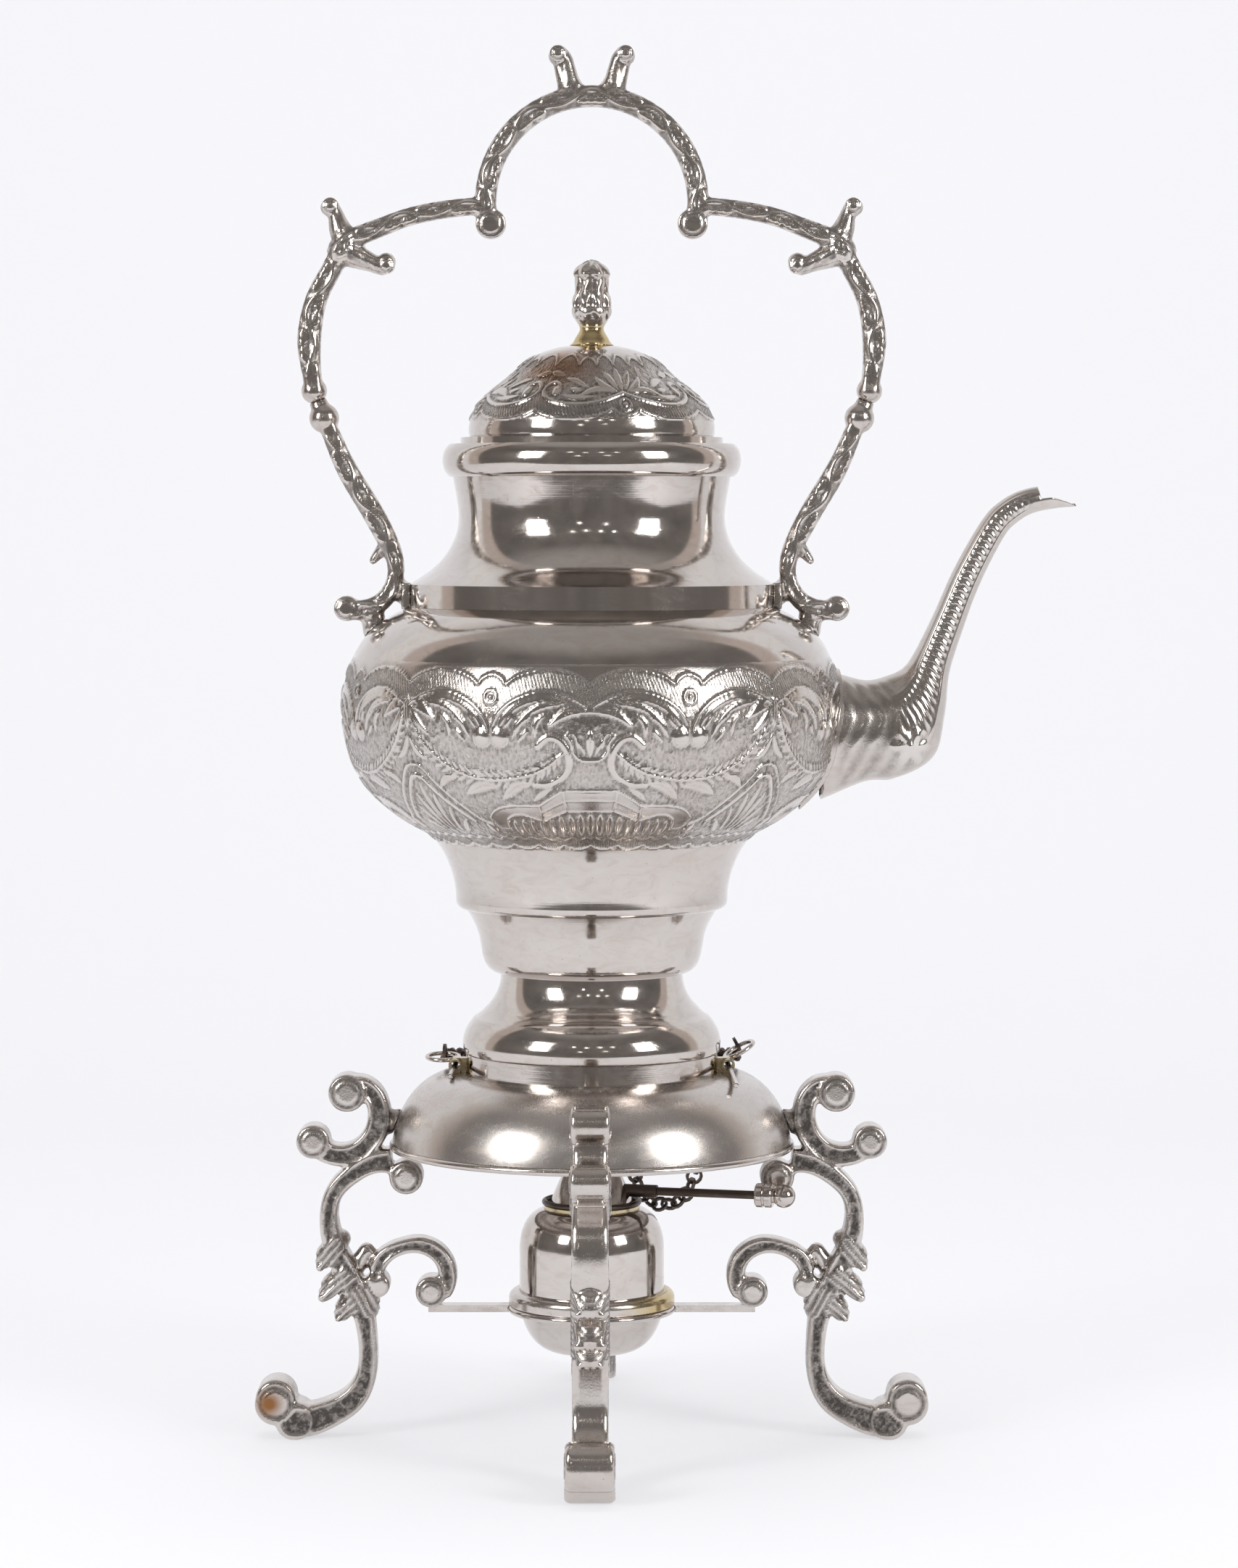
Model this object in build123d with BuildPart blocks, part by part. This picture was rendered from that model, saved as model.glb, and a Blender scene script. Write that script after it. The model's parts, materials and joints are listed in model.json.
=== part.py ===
"""Spirit kettle on its stand: a tilting kettle, a four-legged stand and a spirit lamp, in millimetres.

+Z is up, +X points along the spout and -Y is the front. The origin is on the table,
under the axis of the stand.
"""

import os
from math import cos, hypot, radians, sin

from build123d import *

os.makedirs("parts", exist_ok=True)

# Sheet, solder and seats
wall = 1.2
thin_wall = 0.8
solder_gap = 0.05
seat_gap = 0.05

# Stand dome, which carries the kettle
landing_z = 131.0
landing_r = 50.5
flame_hole_r = 38.0
flame_lip = 3.0
dome_drop = 24.5
rim_r = 72.8
rim_wire = 2.6

# Legs, as cast bars that swell and thin
leg_names = ("leg_right", "leg_back", "leg_left", "leg_front")
upper_depth = 12.0
leg_depth = 13.0
knot_depth = 11.0
foot_depth = 17.0
edge_round = 2.0
knot_r = 82.0
foot_r = 107.0
solder_pad_r = 4.4

# Lamp ring and its four straps
ring_wire = 2.5
lamp_ring_r = 29.15
lamp_ring_z = 46.2
strap_width = 6.0
strap_thick = 2.5
strap_end_r = 58.7

# Kettle foot, lower cup and bulb
foot_height = 36.0
foot_band_r = 45.3
foot_band_height = 7.2
foot_waist_r = 32.6
cup_height = 23.3
cup_r = 45.4
cup_waist_r = 39.6
cup_bottom_r = 33.5
bulb_height = 108.0
belly_r = 89.5
belly_rise = 68.0
step_r = 48.8
seat_width = 5.0

# Neck, shoulder band and mouth
band_r = 65.3
band_height = 8.2
neck_r = 47.9
neck_top_r = 49.9
neck_height = 38.5
collar_overlap = 4.0
lip_r = 53.7
lip_height = 11.8
mouth_r = 45.8

# Lid
lid_r = 44.1
lid_rise = 32.9
flange_r = 47.2
flange_thick = 2.3
flange_width = 6.5
bezel_depth = 8.0
bezel_gap = 0.4
finial_base_r = 9.1
finial_r = 7.2
finial_height = 31.0
flute_count = 8
flute_r = 1.9
stud_r = 2.0
stud_gap = 0.2
stud_length = 6.5
nut_across = 7.0
nut_thick = 2.6

# Handle: one bail and two side arms
bail_r = 38.2
bail_rise = 137.3
bar_width = 7.8
bar_depth = 8.4
ear_r = 3.0
cusp_r = 5.5
small_knuckle_r = 4.7
large_knuckle_r = 5.4
knuckle_neck_r = 3.0
arm_lobe_r = 4.6
tab_width = 13.0
tab_height = 10.0
tab_thick = 3.0

# Spout
spout_wall = 1.3
spout_reach = 84.5
lip_cut = 71.8
collar_thick = 1.6
collar_margin = 1.6
strainer_hole_r = 1.6
strainer_pitch = 5.2

# Lugs and pins of the two hinges
lug_x = 49.0
lug_rise = 2.7
lug_bore_r = 1.7
kettle_lug_r = 2.45
kettle_lug_length = 4.2
stand_lug_r = 2.35
stand_lug_length = 3.0
stand_lug_base = 3.6
lug_side_gap = 0.3
pin_r = 0.95
pin_droop = 5.8
pin_splay = 3.5
right_pin_nose = 34.0
left_pin_nose = 20.0
pin_tail = 11.4
pin_ring_r = 5.7
pin_ring_wire_r = 0.8
left_ring_tilt = 0.0
right_ring_tilt = 28.0

# Chain between the pins
link_r = 2.7
link_wire_r = 0.55
link_pitch = 3.9
link_lead = 0.9
link_lean = 45
link_sides = 12

# Lamp reservoir and its bead
lamp_r = 26.0
lamp_floor_z = 31.0
lamp_floor_r = 14.0
lamp_shoulder_z = 82.0
lamp_top_r = 17.6
bead_r = 29.8
bead_height = 5.4

# Burner and wick
plate_r = 17.2
plate_thick = 1.2
burner_wire = 2.1
burner_wire_r = 16.9
screw_r = 10.5
screw_depth = 7.0
screw_gap = 0.3
wick_tube_r = 4.5
wick_tube_rise = 8.0
wick_tube_depth = 6.0
wick_gap = 0.2
wick_show = 3.0
wick_length = 50.0

# Snuffer
cone_r = 15.2
cone_height = 31.3
handle_rise = 5.6
socket_r = 2.25
socket_end = 24.2
rod_r = 1.5
rod_end = 60.4
rod_grip = 3.0
grip_r = 4.3
grip_length = 6.3
grip_neck_r = 2.6
ball_r = 4.2
snuffer_turn = -14.0

# Levels that follow from the sizes above
rim_z = landing_z - dome_drop - rim_wire / 2
rim_centre_r = rim_r - rim_wire / 2
lug_z = landing_z + lug_rise
foot_bottom_z = landing_z + seat_gap
cup_z = landing_z + foot_height
bulb_z = cup_z + cup_height
belly_z = bulb_z + belly_rise
band_z = bulb_z + bulb_height
shoulder_z = band_z + band_height
lip_z = shoulder_z + neck_height
mouth_z = lip_z + lip_height
lid_z = mouth_z + flange_thick
finial_z = lid_z + lid_rise
bail_z = shoulder_z + bail_rise
strap_z = lamp_ring_z - strap_thick / 2
lamp_seat_z = lamp_ring_z + ring_wire / 2
plate_z = lamp_shoulder_z + plate_thick
snuffer_z = plate_z + handle_rise


def shifted(runs, thick):
    """The runs of an outline that goes down the outside of a sheet, moved into its wall."""
    points = runs[0][:1] + [point for run in runs for point in run[1:]]
    steps = [(b[0] - a[0], b[1] - a[1]) for a, b in zip(points, points[1:])]
    normals = [(dz / hypot(dr, dz), -dr / hypot(dr, dz)) for dr, dz in steps]
    moved = []
    for (r, z), (a, b), (c, d) in zip(points, normals[:1] + normals, normals + normals[-1:]):
        mitre = thick / (1 + a * c + b * d)
        moved.append((r + mitre * (a + c), z + mitre * (b + d)))
    result, first = [], 0
    for run in runs:
        result.append(moved[first : first + len(run)])
        first += len(run) - 1
    return result


def draw(runs):
    """The edges of an outline: a line through two points, a spline through more."""
    return [Line(*run) if len(run) == 2 else Spline(*run) for run in runs]


def sheet(runs, thick):
    """The cut wall of a spun sheet, given the outline down its outside."""
    inner = shifted(runs, thick)
    with BuildSketch(Plane.XZ) as section:
        with BuildLine():
            add(draw(runs))
            add(draw(inner))
            Line(runs[0][0], inner[0][0])
            Line(runs[-1][-1], inner[-1][-1])
        make_face()
    return section.sketch


def core(runs):
    """The full section between an outline and the axis."""
    top, foot = runs[0][0], runs[-1][-1]
    ends = [end for end in (top, foot) if end[0] > 0]
    with BuildSketch(Plane.XZ) as section:
        with BuildLine():
            add(draw(runs))
            Line((0, foot[1]), (0, top[1]))
            for end in ends:
                Line(end, (0, end[1]))
        make_face()
    return section.sketch


def placed(points, x, z):
    """Points that are written from a seat of their own, moved to that seat."""
    return [(x + point[0], z + point[1], *point[2:]) for point in points]


def bar_edges(points):
    """Both edges of a bar, with its width laid off square to its centre line."""
    one, other = [], []
    for i, (x, z, width) in enumerate(points):
        before, after = points[max(i - 1, 0)], points[min(i + 1, len(points) - 1)]
        dx, dz = after[0] - before[0], after[1] - before[1]
        reach = width / 2 / hypot(dx, dz)
        one.append((x - dz * reach, z + dx * reach))
        other.append((x + dz * reach, z - dx * reach))
    return one, other


def cast_bar(points, depth, rounding):
    """A cast bar in the XZ plane that swells and thins along its centre line."""
    one, other = bar_edges(points)
    with BuildPart() as bar:
        with BuildSketch(Plane.XZ):
            with BuildLine():
                Spline(*one)
                Line(one[-1], other[-1])
                Spline(*other)
                Line(other[0], one[0])
            make_face()
        extrude(amount=depth / 2, both=True)
        fillet(bar.faces().filter_by(Axis.Y).edges(), rounding)
    return bar.part


def lobe(x, z, radius, depth, rounding):
    """The rounded button at the end of a scroll."""
    with BuildPart() as button:
        with BuildSketch(Plane.XZ):
            with Locations((x, z)):
                Circle(radius)
        extrude(amount=depth / 2, both=True)
        fillet(button.faces().filter_by(Axis.Y).edges(), rounding)
    return button.part


def finger(start, end, root_r, tip_r):
    """A leaf finger: a taper from its root to a round tip."""
    reach = Vector(*end) - Vector(*start)
    with BuildPart() as leaf:
        with Locations(Plane(start, z_dir=reach)):
            Cone(root_r, tip_r, reach.length, align=(Align.CENTER, Align.CENTER, Align.MIN))
        with Locations(end):
            Sphere(tip_r)
    return leaf.part


# Outlines, each from the top down the outside
dome_outline = [
    [(flame_hole_r, landing_z), (landing_r, landing_z)],
    [
        (landing_r, landing_z),
        (rim_r - 10.2, landing_z - 5.5),
        (rim_r - 5.2, landing_z - 12.0),
        (rim_r - 2.4, landing_z - 18.5),
        (rim_centre_r + 0.3, rim_z + 0.5),
    ],
]
foot_outline = [
    [
        (foot_waist_r, cup_z - solder_gap),
        (foot_waist_r + 1.4, cup_z - 6.7),
        (foot_waist_r + 5.8, cup_z - 12.8),
    ],
    [
        (foot_waist_r + 5.8, cup_z - 12.8),
        (foot_waist_r + 7.6, cup_z - 14.6),
        (foot_waist_r + 9.6, cup_z - 15.9),
    ],
    [
        (foot_waist_r + 9.6, cup_z - 15.9),
        (foot_band_r - 0.3, landing_z + foot_band_height + 9.0),
        (foot_band_r + 1.1, landing_z + foot_band_height + 3.4),
        (foot_band_r + 0.6, landing_z + foot_band_height + 0.6),
    ],
    [
        (foot_band_r + 0.6, landing_z + foot_band_height + 0.6),
        (foot_band_r - 0.1, landing_z + foot_band_height),
    ],
    [(foot_band_r - 0.1, landing_z + foot_band_height), (foot_band_r, foot_bottom_z)],
]
cup_outline = [
    [
        (cup_r, bulb_z - solder_gap),
        (cup_r - 2.4, bulb_z - 3.8),
        (cup_waist_r + 1.0, bulb_z - 9.6),
        (cup_waist_r, cup_z + 8.0),
        (cup_waist_r - 1.0, cup_z + 4.2),
    ],
    [
        (cup_waist_r - 1.0, cup_z + 4.2),
        (cup_waist_r - 2.9, cup_z + 1.5),
        (cup_bottom_r, cup_z),
    ],
    [(cup_bottom_r, cup_z), (0, cup_z)],
]
bulb_outline = [
    [(band_r - seat_width, band_z - solder_gap), (band_r + 0.4, band_z - solder_gap)],
    [
        (band_r + 0.4, band_z - solder_gap),
        (band_r + 9.3, band_z - 4.7),
        (belly_r - 7.5, belly_z + 28.7),
        (belly_r - 2.5, belly_z + 18.7),
        (belly_r, belly_z + 2.0),
        (belly_r - 1.5, belly_z - 7.3),
        (belly_r - 5.0, belly_z - 18.3),
        (belly_r - 12.5, belly_z - 28.3),
        (belly_r - 23.2, belly_z - 36.8),
        (step_r + 9.7, bulb_z + 26.9),
    ],
    [
        (step_r + 9.7, bulb_z + 26.9),
        (step_r + 5.6, bulb_z + 21.9),
        (step_r + 2.5, bulb_z + 15.7),
        (step_r + 0.6, bulb_z + 9.3),
        (step_r, bulb_z + 3.0),
    ],
    [
        (step_r, bulb_z + 3.0),
        (step_r - 0.5, bulb_z + 1.2),
        (step_r - 2.2, bulb_z),
    ],
    [(step_r - 2.2, bulb_z), (cup_r - wall - 0.5, bulb_z)],
]
neck_outline = [
    [(neck_top_r, lip_z + collar_overlap), (neck_top_r, lip_z)],
    [
        (neck_top_r, lip_z),
        (neck_r + 1.0, lip_z - 5.6),
        (neck_r, lip_z - 15.5),
        (neck_r + 1.1, shoulder_z + 17.3),
        (neck_r + 3.6, shoulder_z + 12.1),
        (neck_r + 7.9, shoulder_z + 6.8),
        (band_r - 3.8, shoulder_z + 2.5),
        (band_r, shoulder_z),
    ],
    [(band_r, shoulder_z), (band_r, band_z)],
]
lip_outline = [
    [(mouth_r, mouth_z), (lip_r - 2.4, mouth_z)],
    [
        (lip_r - 2.4, mouth_z),
        (lip_r - 0.7, mouth_z - 2.2),
        (lip_r, mouth_z - 5.8),
        (lip_r - 0.5, lip_z + 2.9),
        (lip_r - 2.8, lip_z),
    ],
]
lid_outline = [
    [(stud_r + stud_gap, finial_z), (finial_base_r, finial_z)],
    [
        (finial_base_r, finial_z),
        (lid_r - 27.9, finial_z - 1.6),
        (lid_r - 21.3, finial_z - 4.7),
        (lid_r - 14.2, finial_z - 11.0),
        (lid_r - 8.4, finial_z - 15.7),
        (lid_r - 2.6, lid_z + 11.2),
        (lid_r, lid_z + 5.0),
        (lid_r - 0.1, lid_z + solder_gap),
    ],
]
finial_outline = [
    [
        (0, finial_z + finial_height),
        (finial_r - 3.4, finial_z + finial_height - 1.4),
        (finial_r - 0.4, finial_z + finial_height - 5.2),
    ],
    [
        (finial_r - 0.4, finial_z + finial_height - 5.2),
        (finial_r - 1.2, finial_z + finial_height - 10.4),
        (finial_r, finial_z + 13.2),
        (finial_r - 1.3, finial_z + 9.4),
        (finial_r - 2.9, finial_z + 6.3),
        (finial_r - 1.4, finial_z + 3.2),
        (finial_base_r - 2.3, finial_z + 1.4),
        (finial_base_r, finial_z + solder_gap),
    ],
]
lamp_outline = [
    [(screw_r + screw_gap, lamp_shoulder_z), (lamp_top_r, lamp_shoulder_z)],
    [
        (lamp_top_r, lamp_shoulder_z),
        (lamp_r - 3.7, lamp_shoulder_z - 2.8),
        (lamp_r - 0.9, lamp_shoulder_z - 8.0),
        (lamp_r, lamp_shoulder_z - 14.5),
    ],
    [(lamp_r, lamp_shoulder_z - 14.5), (lamp_r, lamp_seat_z)],
    [
        (lamp_r, lamp_seat_z),
        (lamp_r - 1.1, lamp_floor_z + 11.5),
        (lamp_r - 4.6, lamp_floor_z + 4.6),
        (lamp_floor_r, lamp_floor_z),
    ],
    [(lamp_floor_r, lamp_floor_z), (0, lamp_floor_z)],
]
cone_outline = [
    [(0, plate_z + cone_height), (1.2, plate_z + cone_height)],
    [
        (1.2, plate_z + cone_height),
        (2.6, plate_z + cone_height - 3.0),
        (5.8, plate_z + cone_height - 10.5),
        (cone_r - 4.2, plate_z + 10.2),
        (cone_r, plate_z + seat_gap),
    ],
]

# Stand
with BuildPart() as stand_dome:
    revolve(sheet(dome_outline, wall), axis=Axis.Z)
    with BuildSketch(Plane.XZ):
        with Locations((flame_hole_r, landing_z)):
            Rectangle(wall, flame_lip, align=(Align.MIN, Align.MAX))
    revolve(axis=Axis.Z)
    with Locations((0, 0, rim_z)):
        Torus(rim_centre_r, rim_wire / 2 + solder_gap, mode=Mode.SUBTRACT)
stand_dome.part.label = "stand_dome"
export_step(stand_dome.part, "parts/stand_dome.step")

with BuildPart() as dome_rim:
    with Locations((0, 0, rim_z)):
        Torus(rim_centre_r, rim_wire / 2)
dome_rim.part.label = "dome_rim"
export_step(dome_rim.part, "parts/dome_rim.step")

with BuildPart() as lamp_ring:
    with Locations((0, 0, lamp_ring_z)):
        Torus(lamp_ring_r, ring_wire / 2)
lamp_ring.part.label = "lamp_ring"
export_step(lamp_ring.part, "parts/lamp_ring.step")

# One leg stands along +X, and the others are turned copies of it.
# Its points are written from the rim wire, from the knot beside the lamp ring and from the foot.
main_scroll = (
    placed(
        [(0.2, -6.0, 9.6), (7.2, -6.7, 7.6), (15.0, -11.0, 7.0), (21.1, -17.5, 6.5)]
        + [(22.9, -24.9, 6.5), (22.6, -30.1, 7.0)],
        rim_centre_r,
        rim_z,
    )
    + placed([(10.0, 21.3, 8.0), (4.5, 10.3, 8.5), (0.0, -1.6, 7.5)], knot_r, lamp_ring_z)
    + placed(
        [(-26.6, 33.3, 6.6), (-25.4, 20.7, 7.6), (-21.1, 13.7, 9.0), (-14.4, 9.4, 10.0)]
        + [(-5.7, 6.4, 11.4), (0.0, 6.4, 12.4)],
        foot_r,
        0,
    )
)
upper_scroll = placed(
    [(14.5, 22.2, 5.5), (10.7, 21.2, 7.0), (6.9, 17.8, 7.8), (5.0, 12.8, 8.1), (5.2, 7.3, 8.3)]
    + [(7.6, 1.8, 8.3), (12.4, -2.4, 8.0), (18.5, -3.9, 7.8), (24.6, -2.4, 7.6), (27.8, 0.0, 7.5)],
    rim_centre_r,
    rim_z,
)
lamp_scroll = placed(
    [(-4.6, 12.8, 6.0), (-7.5, 18.8, 6.0), (-14.0, 22.2, 5.5), (-20.5, 22.8, 6.0)]
    + [(-26.1, 20.4, 6.3), (-29.6, 15.6, 6.5), (-30.1, 10.2, 6.8), (-27.6, 5.4, 7.0)],
    knot_r,
    lamp_ring_z,
)
rim_lobes = placed([(16.3, 18.7, 6.8), (28.5, 1.2, 6.1), (-4.9, -11.6, 6.1)], rim_centre_r, rim_z)
knot_lobes = placed([(-24.3, 6.3, 5.6), (-5.0, 8.8, 4.6)], knot_r, lamp_ring_z)
foot_lobes = placed([(6.4, 12.4, 7.4), (6.3, 14.4, 7.2), (-0.5, 6.6, 7.0)], foot_r, 0)
knot_leaves = [
    ((8.0, 1.6, 24.8), (15.6, 3.4, 15.0), 3.4, 1.7),
    ((4.0, 1.6, 13.8), (14.6, 3.6, 4.2), 4.2, 1.9),
    ((0.5, 1.6, 4.8), (9.0, 3.1, -3.4), 3.6, 1.5),
    ((2.0, 0.0, 8.8), (-3.6, 0.0, -1.6), 4.2, 1.6),
    ((4.5, 0.0, 11.8), (-1.0, 0.0, 20.4), 3.4, 3.0),
]
knot_seat = Vector(knot_r, 0, lamp_ring_z)

with BuildPart() as leg:
    add(cast_bar(main_scroll, leg_depth, edge_round + 0.2))
    add(cast_bar(upper_scroll, upper_depth, edge_round))
    add(cast_bar(lamp_scroll, knot_depth, edge_round - 0.1))
    for start, end, root_r, tip_r in knot_leaves:
        for side in (-1, 1) if start[1] else (1,):
            root = knot_seat + Vector(start[0], side * start[1], start[2])
            tip = knot_seat + Vector(end[0], side * end[1], end[2])
            add(finger(root, tip, root_r, tip_r))
    pad_root, pad_tip = (rim_r + 2, 0, rim_z + 7.5), (rim_r - 6, 0, rim_z + 8.5)
    add(finger(pad_root, pad_tip, solder_pad_r, solder_pad_r - 0.3))
    for x, z, radius in rim_lobes:
        add(lobe(x, z, radius, upper_depth + 2, edge_round - 0.2))
    for x, z, radius in knot_lobes:
        add(lobe(x, z, radius, knot_depth + 1.5, edge_round - 0.5))
    for x, z, radius in foot_lobes:
        add(lobe(x, z, radius, foot_depth, edge_round))
    split(bisect_by=Plane.XY, keep=Keep.TOP)
    revolve(core(shifted(dome_outline, -solder_gap)), axis=Axis.Z, mode=Mode.SUBTRACT)
    with Locations((0, 0, rim_z)):
        Torus(rim_centre_r, rim_wire / 2 + solder_gap, mode=Mode.SUBTRACT)
    with Locations((strap_end_r, 0, strap_z)):
        Box(
            2 * (strap_end_r - lamp_ring_r), strap_width + 2 * solder_gap, strap_thick + solder_gap,
            align=(Align.CENTER, Align.CENTER, Align.MIN), mode=Mode.SUBTRACT,
        )
for i, leg_name in enumerate(leg_names):
    with BuildPart() as turned_leg:
        with Locations(Rotation(0, 0, 90 * i)):
            add(leg.part)
    turned_leg.part.label = leg_name
    export_step(turned_leg.part, f"parts/{leg_name}.step")

    with BuildPart() as strap:
        with Locations(Rotation(0, 0, 90 * i) * Pos(lamp_ring_r, 0, strap_z)):
            Box(
                strap_end_r - lamp_ring_r, strap_width, strap_thick,
                align=(Align.MIN, Align.CENTER, Align.MIN),
            )
        with Locations((0, 0, lamp_ring_z)):
            Torus(lamp_ring_r, ring_wire / 2 + solder_gap, mode=Mode.SUBTRACT)
    strap.part.label = leg_name.replace("leg", "lamp_strap")
    export_step(strap.part, f"parts/{strap.part.label}.step")

# Lugs: a barrel pair on the stand and one on the kettle foot between them, at each side
stand_lug_y = kettle_lug_length / 2 + lug_side_gap + stand_lug_length / 2
foot_room = core(shifted(foot_outline, -solder_gap))
for side, x in (("left", -lug_x), ("right", lug_x)):
    for place, y in (("front", -stand_lug_y), ("back", stand_lug_y)):
        with BuildPart() as stand_lug:
            with BuildSketch(Plane.XZ.offset(-y)):
                with Locations((x, lug_z)):
                    Circle(stand_lug_r)
                with Locations((x, landing_z + solder_gap)):
                    Rectangle(stand_lug_base, lug_rise, align=(Align.CENTER, Align.MIN))
                with Locations((x, lug_z)):
                    Circle(lug_bore_r, mode=Mode.SUBTRACT)
            extrude(amount=stand_lug_length / 2, both=True)
        stand_lug.part.label = f"stand_lug_{side}_{place}"
        export_step(stand_lug.part, f"parts/{stand_lug.part.label}.step")

    with BuildPart() as kettle_lug:
        with BuildSketch(Plane.XZ):
            with Locations((x, lug_z)):
                Circle(kettle_lug_r)
            with Locations(((x + x / lug_x * (foot_band_r - 1.5)) / 2, lug_z)):
                Rectangle(lug_x - foot_band_r + 1.5, 2 * kettle_lug_r)
            with Locations((x, lug_z)):
                Circle(lug_bore_r, mode=Mode.SUBTRACT)
        extrude(amount=kettle_lug_length / 2, both=True)
        revolve(foot_room, axis=Axis.Z, mode=Mode.SUBTRACT)
    kettle_lug.part.label = f"kettle_lug_{side}"
    export_step(kettle_lug.part, f"parts/{kettle_lug.part.label}.step")

# Hinge pins, each drooping towards its nose and splayed outwards, with a pull ring at the tail
ring_ends = {}
for side, sign, nose, tilt in (
    ("left", -1, left_pin_nose, left_ring_tilt),
    ("right", 1, right_pin_nose, right_ring_tilt),
):
    centre = Vector(sign * lug_x, 0, lug_z)
    back = Vector(0, 1, 0).rotate(Axis.X, pin_droop).rotate(Axis.Z, sign * pin_splay)
    outward = Vector(sign, 0, 0).rotate(Axis.Y, -sign * tilt)
    outward = (outward - back * outward.dot(back)).normalized()
    tail = centre + back * pin_tail
    ring_centre = tail + outward * pin_ring_r
    ring_ends[side] = (ring_centre + back * (pin_ring_r + link_lead), outward)
    with BuildPart() as pin:
        with Locations(Plane(centre - back * nose, z_dir=back)):
            Cylinder(pin_r, nose + pin_tail, align=(Align.CENTER, Align.CENTER, Align.MIN))
        chamfer(pin.edges().sort_by(Axis.Y)[0], pin_r / 3)
        with Locations(Plane(ring_centre, z_dir=back.cross(outward))):
            Torus(pin_ring_r, pin_ring_wire_r)
    pin.part.label = f"{side}_pin"
    export_step(pin.part, f"parts/{side}_pin.step")

# Chain: from one pull ring round the back of the dome, with a loop that hangs under its rim
chain_points = [
    ring_ends["left"][0],
    (-50.0, 28.0, landing_z + 2.2),
    (-36.0, 45.0, landing_z + 2.4),
    (-15.0, 56.5, landing_z + 2.0),
    (3.0, 61.0, landing_z + 0.6),
    (12.0, 70.6, landing_z - 8.9),
    (12.8, 76.0, rim_z + 0.8),
    (14.5, 75.5, rim_z - 15.2),
    (22.0, 71.3, rim_z - 32.2),
    (32.0, 67.0, rim_z - 31.2),
    (40.0, 64.5, rim_z - 15.2),
    (45.5, 61.8, rim_z + 0.8),
    (44.0, 56.0, landing_z - 9.3),
    (43.0, 42.5, landing_z + 0.6),
    (50.0, 28.0, landing_z + 2.2),
    ring_ends["right"][0],
]
with BuildLine() as chain_path:
    Spline(*chain_points)
chain_line = chain_path.edge()
link_count = round(chain_line.length / link_pitch) + 1
with BuildPart() as pin_chain:
    for i in range(link_count):
        at = chain_line.position_at(i / (link_count - 1))
        along = chain_line.tangent_at(i / (link_count - 1))
        outward = Vector(at.X, at.Y, 0)
        outward = (outward - along * outward.dot(along)).normalized()
        lean = outward.rotate(Axis((0, 0, 0), along), link_lean if i % 2 else -link_lean)
        if i in (0, link_count - 1):
            lean = ring_ends["right" if i else "left"][1]
        with BuildSketch(Plane(at - lean * link_wire_r, z_dir=lean)):
            RegularPolygon(link_r + link_wire_r, link_sides)
            RegularPolygon(link_r - link_wire_r, link_sides, major_radius=False, mode=Mode.SUBTRACT)
        extrude(amount=2 * link_wire_r)
pin_chain.part.label = "pin_chain"
export_step(pin_chain.part, "parts/pin_chain.step")

# Kettle vessel
with BuildPart() as kettle_foot:
    revolve(sheet(foot_outline, wall), axis=Axis.Z)
kettle_foot.part.label = "kettle_foot"
export_step(kettle_foot.part, "parts/kettle_foot.step")

with BuildPart() as lower_cup:
    revolve(sheet(cup_outline, wall), axis=Axis.Z)
    split(bisect_by=Plane.XY.offset(bulb_z - solder_gap), keep=Keep.BOTTOM)
lower_cup.part.label = "lower_cup"
export_step(lower_cup.part, "parts/lower_cup.step")

# The strainer is a rosette of holes in the bulb's wall, behind the spout
spout_root_z = belly_z - 6.0
with BuildPart() as body_bulb:
    revolve(sheet(bulb_outline, wall), axis=Axis.Z)
    with BuildSketch(Plane((belly_r - 20, 0, spout_root_z), x_dir=(0, 1, 0), z_dir=(1, 0, 0))):
        Circle(strainer_hole_r)
        with PolarLocations(strainer_pitch, 6):
            Circle(strainer_hole_r)
        with PolarLocations(2 * strainer_pitch, 12):
            Circle(strainer_hole_r)
    extrude(amount=30, mode=Mode.SUBTRACT)
body_bulb.part.label = "body_bulb"
export_step(body_bulb.part, "parts/body_bulb.step")

with BuildPart() as neck_shoulder:
    revolve(sheet(neck_outline, wall), axis=Axis.Z)
neck_shoulder.part.label = "neck_shoulder"
export_step(neck_shoulder.part, "parts/neck_shoulder.step")

# The rim is a rolled channel: the top of the neck goes up between its two sides
with BuildPart() as neck_rim:
    revolve(sheet(lip_outline, thin_wall), axis=Axis.Z)
    with BuildSketch(Plane.XZ):
        with Locations((mouth_r, mouth_z)):
            Rectangle(thin_wall, lip_height, align=(Align.MIN, Align.MAX))
    revolve(axis=Axis.Z)
neck_rim.part.label = "neck_rim"
export_step(neck_rim.part, "parts/neck_rim.step")

# Lid
with BuildPart() as lid_flange:
    with BuildSketch(Plane.XZ):
        with Locations((flange_r, lid_z)):
            Rectangle(flange_width, flange_thick - seat_gap, align=(Align.MAX, Align.MAX))
        with Locations((mouth_r - bezel_gap, lid_z - seat_gap)):
            Rectangle(wall, flange_thick + bezel_depth - seat_gap, align=(Align.MAX, Align.MAX))
    revolve(axis=Axis.Z)
lid_flange.part.label = "lid_flange"
export_step(lid_flange.part, "parts/lid_flange.step")

with BuildPart() as lid_dome:
    revolve(sheet(lid_outline, wall), axis=Axis.Z)
lid_dome.part.label = "lid_dome"
export_step(lid_dome.part, "parts/lid_dome.step")

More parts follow.
